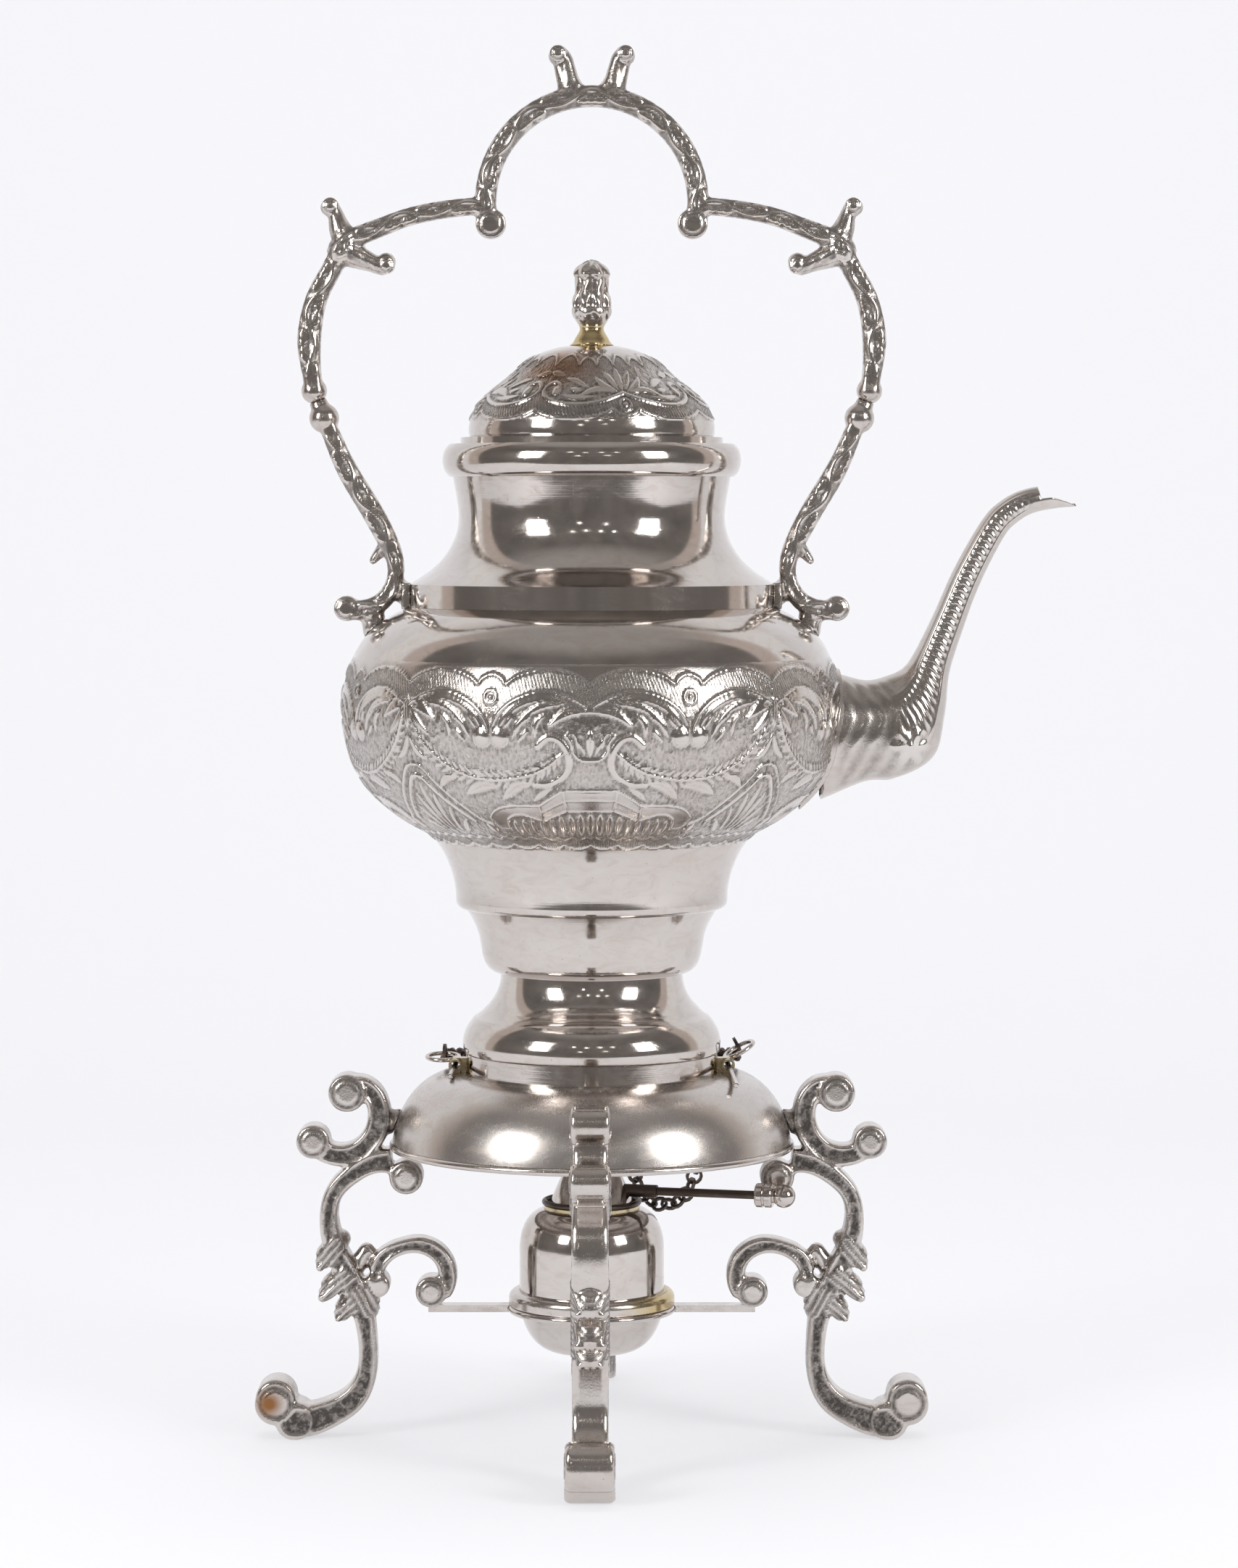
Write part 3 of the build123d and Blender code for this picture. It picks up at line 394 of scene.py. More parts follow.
def bulb_relief(points):
    """The height of the chased ornament, and where its ground is hatched."""
    art = Relief(points)
    cusps = [0, 29.9, 40.4, HALF_PANEL]
    border = scallops(cusps, 273.8, (4.8, 3.2, 4.8))
    scroll = [
        (0, 265.8), (5, 268.6), (10.5, 270.6), (16, 271.3), (22, 270.2), (27.5, 267.6), (31.8, 263.8),
        (34.2, 259.5), (34.3, 256.2),
    ]
    crescent = [(6, 267.6), (16, 269.4), (24, 267.4), (29.6, 262.8), (32.2, 257.6)]
    petals = [
        ([(2.4, 264.9), (7, 264.6), (13, 261.4)], 3.0), ([(9, 267.2), (17, 266.2), (24.5, 261.8)], 2.8),
        ([(15.6, 263.4), (18.6, 260.4), (19, 255.6)], 2.2), ([(20, 263), (24.4, 260.4), (27, 255.4)], 2.4),
        ([(21.6, 258.4), (25.2, 253.8)], 1.8), ([(26.6, 264), (30, 258.5)], 1.8),
    ]
    for line in (scroll, mirrored(scroll, RING_LINE)):
        art.ridge(line, 1.3, 0.62)
    for line in (crescent, mirrored(crescent, RING_LINE)):
        art.leaf(line, 3.6, 0.55)
    for line, width in petals:
        art.leaf(line, width, 0.62)
        art.leaf(mirrored(line, RING_LINE), width, 0.62)
    for x in (32.0, 2 * RING_LINE - 32.0):
        art.knob((x, 255.4), 3.1, 1.05)
        art.ring((x, 255.4), 3.3, 0.9, 0.45)
    art.ridge(border, 1.1, 0.5)
    art.ring((RING_LINE, 269.4), 2.3, 0.9, 0.5)
    art.knob((RING_LINE, 269.4), 1.0, 0.45)

    # Canopy, tulip and the ribbon scroll beside it
    art.ridge([(0, 264.7), (6, 263.8), (10.5, 262), (13.6, 260)], 1.7, 0.6)
    art.ridge([(0, 247.6), (3.6, 248.2), (5.9, 250.8), (6.6, 254.2), (8.3, 256.2)], 1.2, 0.55)
    art.ridge([(8.3, 256.2), (6.2, 257.2), (4.8, 255.6), (4.2, 252.4)], 0.9, 0.45)
    art.leaf([(0, 249.2), (0, 258.2)], 3.0, 0.8)
    art.leaf([(1.8, 249.8), (4.4, 255.2)], 1.5, 0.5)
    ribbon = [
        (18.2, 252.6), (14.6, 255.6), (10.6, 254.6), (8, 250.6), (7.4, 246), (9.6, 242.2), (14.4, 239.4),
        (20, 239.2),
    ]
    art.ridge(ribbon, 2.6, 0.62)

    # Festoon of leaves, and the lobes that hang from it
    stem = [
        (9.8, 250), (14, 246.4), (20, 243.2), (28, 241.3), (36, 240.8), (44, 241.6), (52, 244.4),
        (59, 248.8), (64.5, 254.5), (68, 261.5),
    ]
    for barb in festoon_barbs(stem, 24, 5.6, 38):
        art.leaf(barb, 1.5, 0.42)
    art.ridge(stem, 1.2, 0.66)
    for line, width in (
        ([(21, 239.6), (27, 238.6), (33.6, 233.8)], 4.4), ([(34.5, 238.6), (41, 238.4), (48.5, 235.4)], 4.6),
        ([(13.5, 238.4), (21.6, 233.6)], 2.6), ([(50, 241.6), (55.6, 240.8), (60, 237.4)], 3.0),
        ([(HALF_PANEL, 268.5), (HALF_PANEL, 257.5)], 3.6), ([(69.2, 266.4), (65, 260), (60, 255.4)], 3.0),
        ([(68.6, 268.4), (63, 266), (57.6, 261)], 2.8), ([(HALF_PANEL, 256), (67.2, 250), (62.6, 247)], 2.6),
    ):
        art.leaf(line, width, 0.55)

    # Bridge-shaped cartouche with its fan of flutes
    upper = [
        (0, 237.2), (10, 237.2), (19.8, 231.8), (30.4, 231.6), (38, 230.2), (43, 226.7), (41.4, 223.2),
        (36.6, 222.8),
    ]
    lower = [(0, 229.6), (9.4, 229.6), (20.2, 226), (29, 228.2), (35, 226.4), (36.6, 222.8)]
    art.height[inside(points, upper + lower[::-1])] = 0.34
    for line, width in ((upper[:3], 0.9), (lower[:3], 0.9), ([(0, 233.5), (9.8, 233.5), (19.9, 229.2)], 0.6)):
        for a, b in zip(line, line[1:]):
            art.ridge([a, b], width, 0.62)
    art.ridge(upper[2:], 0.9, 0.62)
    art.ridge(lower[2:], 0.9, 0.62)
    for a, b in (((10, 237.2), (9.4, 229.6)), ((19.8, 231.8), (20.2, 226))):
        art.ridge([a, b], 0.8, 0.66)
    for i in range(9):
        x = 4.1 * i
        art.leaf([(x, 229.4 - 0.1 * x), (x, 220.4)], 3.3, 0.55)

    # Tent-shaped arch on the line between two panels, with a palmette under it
    tent = [(HALF_PANEL, 245.4), (66.3, 244.2), (61.6, 238.9), (56.3, 233.4), (50, 227.4), (46.4, 225.2)]
    under = [(HALF_PANEL, 241.4), (67.4, 240.4), (63.4, 235.8), (58.6, 230.9), (52.4, 225.4)]
    art.ridge(tent, 1.1, 0.6)
    art.ridge(under, 1.7, 0.7)
    art.knob((45.6, 223.4), 2.3, 0.8)
    for foot, tip, width in (
        ((HALF_PANEL, 221.6), (HALF_PANEL, 238.6), 3.0), ((68.2, 221.6), (65.4, 235.4), 2.8),
        ((65.8, 221.4), (60.6, 230.6), 2.6), ((63, 221.2), (56, 226), 2.4),
    ):
        art.leaf([foot, tip], width, 0.6)

    # Lower border
    wave = [(x, 219.3 + 0.45 * sin(x * 0.9)) for x in np.linspace(0, HALF_PANEL, 60)]
    art.ridge(wave, 0.9, 0.42)
    step = HALF_PANEL / 5
    foot_scallops = scallops([step * i for i in range(6)], 216.6, [-1.3] * 5, 7)
    art.ridge(foot_scallops, 1.0, 0.5)

    across, up = points.T
    top = np.interp(across, *np.array(border).T)
    fold = np.where(across > RING_LINE, 2 * RING_LINE - across, across)
    scroll_top = np.interp(fold, [x for x, _ in scroll[:7]], [z for _, z in scroll[:7]])
    foot = np.interp(across, *np.array(foot_scallops).T)
    hatched = ((up < top) & (up > scroll_top)) | ((up < 219.0) & (up > foot))
    return art.height, hatched, (up < top) & (up > foot)


def lid_relief(points):
    """The chased band of the lid. Its half panel is LID_HALF_PANEL, an eighth of the round."""
    art = Relief(points)
    foot = scallops([-5, 5, LID_HALF_PANEL], 368.4, (-2.0, -3.2))[9:]
    foot = [(0, 366.4), (1.7, 366.6), (3.4, 367.3)] + foot
    crown = scallops([0, 9.5, 19, LID_HALF_PANEL], 384.6, (3.6, 2.6, 3.8))
    scroll = [
        (0, 374.4), (6, 372.3), (13, 370.7), (20, 370.3), (27, 371.6), (31.2, 374), (31.8, 376.6),
        (29, 378.2), (25.8, 377.2), (25.4, 375.2),
    ]
    art.ridge(foot, 1.0, 0.45)
    art.ridge(crown, 1.0, 0.45)
    art.ridge(scroll, 1.3, 0.6)
    art.knob((26.2, 375.2), 1.9, 0.8)
    art.ring((0, 370.2), 2.0, 0.9, 0.5)
    art.knob((0, 370.2), 1.0, 0.45)
    for line, width in (
        ([(0, 375), (0, 383.6)], 3.6), ([(1.2, 375.2), (3.6, 379), (6.8, 382)], 2.8),
        ([(2, 374.8), (7, 377), (11, 380)], 2.6), ([(3.4, 374.6), (10, 375.6), (17, 373.4)], 2.4),
        ([(11, 373), (18, 372.6), (24, 373.4)], 2.0), ([(13.5, 376.2), (19, 378.6), (24, 379.4)], 2.2),
        ([(16, 375), (21, 375.8)], 1.8), ([(25, 380.6), (33, 381.8)], 2.4),
    ):
        art.leaf(line, width, 0.55)
    across, up = points.T
    low = np.interp(across, *np.array(foot).T)
    high = np.interp(across, *np.array(crown).T)
    scroll_line = np.interp(across, [x for x, _ in scroll[:6]], [z for _, z in scroll[:6]])
    hatched = ((up > low) & (up < scroll_line)) | ((up < high) & (up > high - 3.2))
    return art.height, hatched, (up > low) & (up < high)


def evened(profile, count):
    """Points at even steps along a profile of radius and height."""
    line = flowing(profile, 24)
    run = np.concatenate([[0], np.cumsum(np.linalg.norm(np.diff(line, axis=0), axis=1))])
    steps = np.linspace(0, run[-1], count)
    return np.interp(steps, run, line[:, 0]), np.interp(steps, run, line[:, 1])


RELIEFS = {}  # the four panels of a band share one relief


def chased_panel(name, profile, relief, half, columns, rows, turn, sizes):
    """A quarter of a chased band: a grid laid on the shell and raised into its relief."""
    bpy.ops.object.select_all(action="DESELECT")
    bpy.ops.mesh.primitive_grid_add(x_subdivisions=columns, y_subdivisions=rows, size=1, calc_uvs=True)
    piece = bpy.context.object
    piece.name = piece.data.name = name
    mesh = piece.data
    grid = corners(mesh) * MM
    column, row = np.rint((grid[:, 0] + 0.5) * columns), np.rint((grid[:, 1] + 0.5) * rows)
    radii, levels = evened(profile, rows + 1)
    row_at = row.astype(int)
    across = (column / columns * 2 - 1) * half
    points = np.column_stack([np.abs(across), levels[row_at]])
    if relief not in RELIEFS:
        RELIEFS[relief] = relief(points)
    height, hatched, chased = RELIEFS[relief]
    seed = np.random.default_rng(PANEL_SEED)
    grain = softened(seed.random(len(points)), rows + 1, columns + 1, 1)
    ground = np.clip(1 - height / 0.3, 0, 1) * chased
    height = height + (grain - 0.5) * GRAIN_DEPTH * ground * np.where(hatched, HATCHED_GRAIN, 1.0)
    hatch = np.sin(2 * pi * (across + HATCH_LEAN * points[:, 1]) / HATCH_PITCH)
    height = height + HATCH_DEPTH * hatch * hatched * ground
    around = softened(height, rows + 1, columns + 1, 14)
    # Painted shade in the hollows beside the raised work, from the blurred height, and tarnish over the
    # chased ground
    recess = np.clip((around - height) * 3.6, 0, 1) + 0.30 * ground
    fade = np.clip(np.minimum(row, rows - row) / EDGE_ROWS, 0, 1)
    raised = radii[row_at] + (sizes.skin / MM + height * sizes.relief) * fade - EDGE_TUCK * (1 - fade)
    angle = radians(turn) + across / half * pi / 4
    put_corners(mesh, np.column_stack([raised * np.cos(angle), raised * np.sin(angle), points[:, 1]]))
    put_mask(mesh, "recess", recess)
    put_mask(mesh, "worn_edge", np.clip((height - around) * 2.2, 0, 1))
    return piece


def bar_from(x0, z0, points):
    """A bar in the XZ plane, written as places from one point, each with its width."""
    return [(x0 + x, z0 + z, width) for x, z, width in points]


# Cast bars of the handle
ARCH = [
    (bail_r * cos(radians(turn)), bail_z + bail_r * sin(radians(turn)), 7.8) for turn in range(-12, 193, 17)
]
SHOULDER_BAR = bar_from(bail_r, bail_z, [
    (0.0, -1.2, 6.3), (9.2, -1.9, 6.3), (19.0, -3.3, 6.4), (29.4, -5.8, 6.4), (39.8, -9.8, 6.8),
    (46.3, -12.4, 7.2), (50.6, -14.9, 7.4),
])
SIDE_BAR = bar_from(bail_r, bail_z, [
    (47.9, -11.6, 6.4), (51.6, -16.6, 7.2), (55.6, -24.4, 7.2), (60.0, -32.6, 7.6), (62.6, -41.7, 8.2),
    (63.5, -50.3, 8.5), (62.7, -60.7, 7.0), (61.7, -67.9, 6.6),
])
ARM_BAR = bar_from(bail_r, bail_z, [
    (58.1, -77.7, 6.4), (55.5, -83.5, 6.5), (52.8, -90.0, 7.0), (48.9, -97.9, 7.6), (44.4, -105.4, 7.8),
])
ARM_BAR += bar_from(band_r, shoulder_z, [
    (12.3, 23.5, 7.8), (7.9, 15.0, 7.2), (5.3, 7.5, 6.2), (5.9, 0.3, 6.0), (9.7, -5.9, 6.6),
    (15.7, -9.1, 7.2), (22.8, -8.8, 7.4),
])
HANDLE_BUTTONS = [
    (12.2, bail_z + bail_r + 15.3, 3.0), (bail_r - 1.9, bail_z - 7.8, 5.5),
    (bail_r + 55.8, bail_z - 1.3, 3.0), (bail_r + 35.6, bail_z - 22.8, 3.0),
    (band_r + 22.8, shoulder_z - 8.8, 4.6),
]
KNUCKLES = bar_from(bail_r, bail_z, [(61.7, -67.9, 5.6), (58.1, -77.7, 6.4)])

# Horns on the arch, ears and lower lobes at the corners
BAIL_CURLS = [
    bar_from(0, bail_z + bail_r, [
        (4.6, 0.6, 7.4), (7.4, 4.6, 7.0), (8.4, 9.4, 5.8), (9.4, 13.6, 5.0), (11.6, 16.0, 5.2),
        (12.4, 14.4, 6.8),
    ]),
    bar_from(0, bail_z, [
        (88.2, -15.0, 10.0), (90.8, -9.6, 8.0), (92.0, -5.0, 6.2), (93.8, -1.2, 5.6), (94.6, -1.8, 6.6),
    ]),
    bar_from(0, bail_z, [
        (90.0, -17.5, 11.0), (84.6, -19.6, 9.0), (79.2, -21.8, 7.0), (75.4, -23.2, 6.4), (74.0, -21.6, 7.4),
    ]),
]
BAIL_CURLS += [[(-x, z, width) for x, z, width in curl] for curl in BAIL_CURLS]

# Cast bars of a leg that stands along +X: the S, the upper C and the scroll to the lamp
LEG_BARS = [
    bar_from(rim_r, rim_z, [
        (0.2, -6.0, 9.6), (7.2, -6.7, 7.6), (15.0, -11.0, 7.0), (21.1, -17.5, 6.5), (22.9, -24.9, 6.5),
        (22.6, -30.1, 7.0),
    ])
    + bar_from(knot_r, knot_z, [(10.0, 21.3, 8.0), (4.5, 10.3, 8.5), (0.0, -1.6, 7.5)])
    + bar_from(foot_r, 0, [
        (-26.6, 33.3, 6.6), (-25.4, 20.7, 7.6), (-21.1, 13.7, 9.0), (-14.4, 9.4, 10.0), (-5.7, 6.4, 11.4),
        (0.0, 6.4, 12.4),
    ]),
    bar_from(rim_r, rim_z, [
        (14.5, 22.2, 5.5), (10.7, 21.2, 7.0), (6.9, 17.8, 7.8), (5.0, 12.8, 8.1), (5.2, 7.3, 8.3),
        (7.6, 1.8, 8.3), (12.4, -2.4, 8.0), (18.5, -3.9, 7.8), (24.6, -2.4, 7.6), (27.8, 0.0, 7.5),
    ]),
    bar_from(knot_r, knot_z, [
        (-4.6, 12.8, 6.0), (-7.5, 18.8, 6.0), (-14.0, 22.2, 5.5), (-20.5, 22.8, 6.0), (-26.1, 20.4, 6.3),
        (-29.6, 15.6, 6.5), (-30.1, 10.2, 6.8), (-27.6, 5.4, 7.0),
    ]),
]
LEG_BUTTONS = [
    (rim_r + 16.3, rim_z + 18.7, 6.8), (rim_r + 28.5, rim_z + 1.2, 6.1), (rim_r - 4.9, rim_z - 11.6, 6.1),
    (knot_r - 24.3, knot_z + 6.3, 5.6), (foot_r + 6.3, 13.4, 7.2),
]
# Each leaf at the knot, from its root to its tip
KNOT_LEAVES = [
    ((8.0, 24.8), (15.6, 15.0)), ((4.0, 13.8), (14.6, 4.2)), ((0.5, 4.8), (9.0, -3.4)),
    ((2.0, 8.8), (-3.6, -1.6)),
]
KNOT_LIMBS = [
    [
        (knot_r + x0, knot_z + z0, 7.0),
        (knot_r + 0.35 * x0 + 0.65 * x1, knot_z + 0.45 * z0 + 0.55 * z1, 8.6),
        (knot_r + x1, knot_z + z1, 3.6),
    ]
    for (x0, z0), (x1, z1) in KNOT_LEAVES
]


CAST_SEED, CHANNEL_SEED = 11, 5
CAST_GRAIN = 0.10  # how rough the bottom of a recess is
TENDRIL = 25.0  # one wave of the tendril along a bar
RIM_WIDTH = 1.45  # the raised rim beside a leg's channel


def on_bars(points, bars):
    """For each point: its share of the half width, its place along the bar, and the half width."""
    share, run, half = np.full(len(points), 9.0), np.zeros(len(points)), np.ones(len(points))
    for bar in bars:
        line = flowing(bar, 6)
        length = np.linalg.norm(np.diff(line[:, :2], axis=0), axis=1).sum()
        gap, place = nearest(points, line[:, :2])
        widths = np.interp(place, np.linspace(0, 1, len(line)), line[:, 2] / 2)
        ratio = gap / widths
        closer = np.abs(ratio) < np.abs(share)
        share[closer], run[closer], half[closer] = ratio[closer], place[closer] * length, widths[closer]
    return share, run, half


def step_between(values, low, high):
    """A smooth step from 0 at low to 1 at high."""
    t = np.clip((values - low) / (high - low), 0, 1)
    return t * t * (3 - 2 * t)


def carve(piece, places, normals, lift, recess, extra=None):
    """Raises the surface along its normals and stores where it is darkened by tarnish and painted shade."""
    seed = np.random.default_rng(CAST_SEED)
    grain = seed.random(len(places))
    put_corners(piece.data, places + normals * (lift + (grain - 0.5) * CAST_GRAIN * recess)[:, None])
    put_mask(piece.data, "recess", recess)
    put_mask(piece.data, "worn_edge", np.clip(lift * 1.4, 0, 1))
    for name, values in (extra or {}).items():
        put_mask(piece.data, name, values)


def button_rings(points, facing, buttons, lift, recess):
    """Flat bright buttons, each in a dark ring."""
    for x, z, radius in buttons:
        far = np.hypot(points[:, 0] - x, points[:, 1] - z) / radius
        on = far < 1.05
        ring = np.exp(-(((far - 0.74) / 0.11) ** 2)) * facing
        lift[on] = (-0.55 * ring + 0.18 * (far < 0.6) * facing)[on]
        # Painted shade and tarnish in the groove round each button
        recess[on] = (0.9 * ring)[on]


def foliage(points, bars):
    """Leaves and tendrils that wind along a cast bar, from 0 to 1."""
    share, run, _ = on_bars(points, bars)
    wave = np.sin(2 * pi * run / TENDRIL)
    tendril = np.exp(-(((share - 0.5 * wave) / 0.24) ** 2))
    lobe_place = (run / (TENDRIL / 4)) % 1.0
    lobe_side = np.where((run / (TENDRIL / 2)) % 2 < 1, 1.0, -1.0)
    swell = np.sin(pi * lobe_place) ** 0.8
    blades = np.clip(1 - ((share + 0.5 * lobe_side) / (0.12 + 0.55 * swell)) ** 2, 0, 1) ** 0.7
    veins = 0.5 + 0.5 * np.sin(2 * pi * (run + 4.2 * np.abs(share)) / 2.5)
    leaves = blades * (0.72 + 0.28 * veins)
    side_ribs = (0.5 + 0.5 * np.sin(2 * pi * run / 4.2)) * step_between(np.abs(share), 0.8, 1.1) * 0.55
    return np.maximum(np.maximum(tendril, leaves * 0.9), side_ribs), share


def carve_handle(piece, sizes, bars):
    """Foliage all along a piece of the handle, with plain knuckles and ringed buttons."""
    places = corners(piece.data)
    normals = corner_normals(piece.data)
    points = np.column_stack([np.abs(places[:, 0]), places[:, 2]])
    facing = step_between(np.abs(normals[:, 1]), 0.25, 0.8)
    relief, share = foliage(points, bars)
    lift = (relief - 0.45) * sizes.foliage / MM * (0.35 + 0.65 * facing)
    # Painted shade and tarnish in the low places between leaves and tendrils
    recess = step_between(0.5 - relief, 0.0, 0.4)
    knuckles = np.zeros(len(places))
    for x, z, radius in KNUCKLES:
        far = np.hypot(points[:, 0] - x, points[:, 1] - z)
        knuckles = np.maximum(knuckles, step_between(radius + 1.2 - far, 0, 1.6))
    off_bar = step_between(np.abs(share), 1.25, 1.6)
    plain = np.maximum(knuckles, off_bar * 0.7)
    lift *= 1 - plain
    recess *= 1 - 0.8 * plain
    button_rings(points, facing, HANDLE_BUTTONS, lift, recess)
    carve(piece, places, normals, lift, recess)


def carve_leg(piece, sizes, turn):
    """Raised rims beside a dark channel, buttons at the scroll ends and folded leaves at the knot."""
    places = corners(piece.data)
    normals = corner_normals(piece.data)
    c, s = cos(radians(-turn)), sin(radians(-turn))
    facing = step_between(np.abs(normals[:, 0] * s + normals[:, 1] * c), 0.45, 0.9)
    points = np.column_stack([places[:, 0] * c - places[:, 1] * s, places[:, 2]])
    share, run, half = on_bars(points, LEG_BARS)
    rim = RIM_WIDTH / half
    channel = step_between(1 - rim - np.abs(share), 0.0, 0.22) * facing
    shallow = 0.75 + 0.25 * np.sin(2 * pi * run / 23.0)
    lift = -channel * shallow * sizes.channel / MM + 0.22 * step_between(np.abs(share), 0.55, 0.8) * facing
    seed = np.random.default_rng(CHANNEL_SEED)
    # The channel floor is darkened: painted shade in the groove, with tarnish
    recess = channel * (0.75 + 0.35 * seed.random(len(points)))
    for (x0, z0), (x1, z1) in KNOT_LEAVES:
        line = [(knot_r + x0, knot_z + z0), (knot_r + x1, knot_z + z1)]
        gap, place = nearest(points, flowing(line))
        on = (np.abs(gap) < 3.6) & (place > 0.02) & (place < 1.0)
        folds = 0.5 + 0.5 * np.cos(2 * pi * gap / 2.2)
        lift[on] = (0.75 * folds - 0.45)[on]
        # Painted shade and tarnish in the creases between the folds
        recess[on] = (0.75 * (1 - folds))[on]
    button_rings(points, facing, LEG_BUTTONS, lift, recess)
    # Darker round the place where the upper scroll meets the rim
    joint_distance = np.hypot((points[:, 0] - rim_r - 1.5) / 5.0, (points[:, 1] - rim_z - 8.0) / 7.5)
    joint_dark = np.clip(1.35 - joint_distance, 0, 1)
    # Painted shade: the faces turned in towards the axis are darker
    shaded_inner_side = step_between(-(normals[:, 0] * c - normals[:, 1] * s), 0.2, 0.9)
    recess = np.maximum(recess, np.maximum(0.9 * joint_dark, 0.35 * shaded_inner_side))
    rusty = np.zeros(len(points))
    if turn == 180:
        rusty = np.clip(1.4 - np.hypot(points[:, 0] - foot_r - 8.5, points[:, 1] - 13.0) / 4.2, 0, 1)
    carve(piece, places, normals, lift, recess, {"rusty": rusty})


# Materials


def wire(tree, source, target):
    """Joins two sockets."""
    tree.links.new(source, target)


def math_node(tree, operation, first, second=None, clamp=False):
    """The result of one operation on numbers or sockets."""
    node = tree.nodes.new("ShaderNodeMath")
    node.operation = operation
    node.use_clamp = clamp
    for socket, value in zip(node.inputs, (first, second)):
        if isinstance(value, bpy.types.NodeSocket):
            wire(tree, value, socket)
        elif value is not None:
            socket.default_value = value
    return node.outputs[0]


def mix_colours(tree, share, first, second):
    """From the first colour at a share of 0 to the second at 1."""
    node = tree.nodes.new("ShaderNodeMix")
    node.data_type = "RGBA"
    for socket, value in ((node.inputs["Factor"], share), (node.inputs[6], first), (node.inputs[7], second)):
        if isinstance(value, bpy.types.NodeSocket):
            wire(tree, value, socket)
        else:
            socket.default_value = value
    return node.outputs[2]


def ranged(tree, value, low, high, to_low=0.0, to_high=1.0):
    """A smooth step of a socket from low to high."""
    node = tree.nodes.new("ShaderNodeMapRange")
    node.interpolation_type = "SMOOTHSTEP"
    wire(tree, value, node.inputs["Value"])
    for name, number in (("From Min", low), ("From Max", high), ("To Min", to_low), ("To Max", to_high)):
        node.inputs[name].default_value = number
    return node.outputs["Result"]


def noise(tree, vector, scale, detail=4.0, rough=0.55, warp=0.0):
    """Soft noise, from 0 to 1."""
    node = tree.nodes.new("ShaderNodeTexNoise")
    wire(tree, vector, node.inputs["Vector"])
    for name, number in (("Scale", scale), ("Detail", detail), ("Roughness", rough), ("Distortion", warp)):
        node.inputs[name].default_value = number
    return node.outputs["Fac"]


def stretched(tree, vector, scale):
    """A pattern's coordinates, scaled along each axis."""
    node = tree.nodes.new("ShaderNodeMapping")
    wire(tree, vector, node.inputs["Vector"])
    node.inputs["Scale"].default_value = scale
    return node.outputs["Vector"]


def new_group(name, inputs, outputs):
    """An empty node group with its sockets, and its two ends."""
    tree = bpy.data.node_groups.new(name, "ShaderNodeTree")
    for label, kind, value in inputs:
        socket = tree.interface.new_socket(name=label, in_out="INPUT", socket_type=kind)
        socket.default_value = value
    for label, kind in outputs:
        tree.interface.new_socket(name=label, in_out="OUTPUT", socket_type=kind)
    return tree, tree.nodes.new("NodeGroupInput"), tree.nodes.new("NodeGroupOutput")


FLOAT, COLOUR = "NodeSocketFloat", "NodeSocketColor"
WEAR = [("Color", COLOUR), ("Roughness", FLOAT), ("Height", FLOAT)]


def worn_plate_group():
    """Smudges, tarnish, hairlines and small pits of a polished plate that has been handled."""
    inputs = [
        ("Plate", COLOUR, (0.6, 0.56, 0.52, 1)), ("Tarnish", COLOUR, (0.5, 0.44, 0.38, 1)),
        ("Smooth", FLOAT, 0.1), ("Dull", FLOAT, 0.3), ("Pits", FLOAT, 0.5),
    ]
    tree, start, end = new_group("Worn Plate", inputs, WEAR)
    place = tree.nodes.new("ShaderNodeTexCoord").outputs["Object"]
    cloud = ranged(tree, noise(tree, place, 26, 5, 0.6, 0.6), 0.36, 0.70)
    smudge = ranged(tree, noise(tree, stretched(tree, place, (1, 1, 2.2)), 90, 6, 0.65, 1.2), 0.40, 0.72)
    turned = noise(tree, stretched(tree, place, (18, 18, 2600)), 1.0, 3, 0.6)
    hairs = ranged(tree, noise(tree, stretched(tree, place, (2400, 160, 700)), 1.0, 2, 0.5), 0.64, 0.70)
    spots = ranged(tree, noise(tree, place, 900, 2, 0.5), 0.70, 0.78)
    blemish = math_node(tree, "MULTIPLY", spots, start.outputs["Pits"], True)
    clouds = math_node(tree, "ADD", math_node(tree, "MULTIPLY", cloud, 0.7), smudge)
    share = math_node(tree, "MULTIPLY", clouds, 0.5, True)
    tinted = mix_colours(tree, share, start.outputs["Plate"], start.outputs["Tarnish"])
    spotted = mix_colours(tree, math_node(tree, "MULTIPLY", blemish, 0.7), tinted, (0.10, 0.085, 0.075, 1))
    wire(tree, spotted, end.inputs["Color"])
    hair_share = math_node(tree, "MULTIPLY", hairs, 0.6)
    dull = math_node(tree, "ADD", math_node(tree, "MULTIPLY", smudge, 0.6), hair_share, True)
    span = math_node(tree, "SUBTRACT", start.outputs["Dull"], start.outputs["Smooth"])
    rough = math_node(tree, "ADD", start.outputs["Smooth"], math_node(tree, "MULTIPLY", span, dull))
    rough = math_node(tree, "ADD", rough, math_node(tree, "MULTIPLY", blemish, 0.2))
    wire(tree, rough, end.inputs["Roughness"])
    height = math_node(tree, "SUBTRACT", math_node(tree, "MULTIPLY", turned, 0.35), blemish)
    wire(tree, height, end.inputs["Height"])


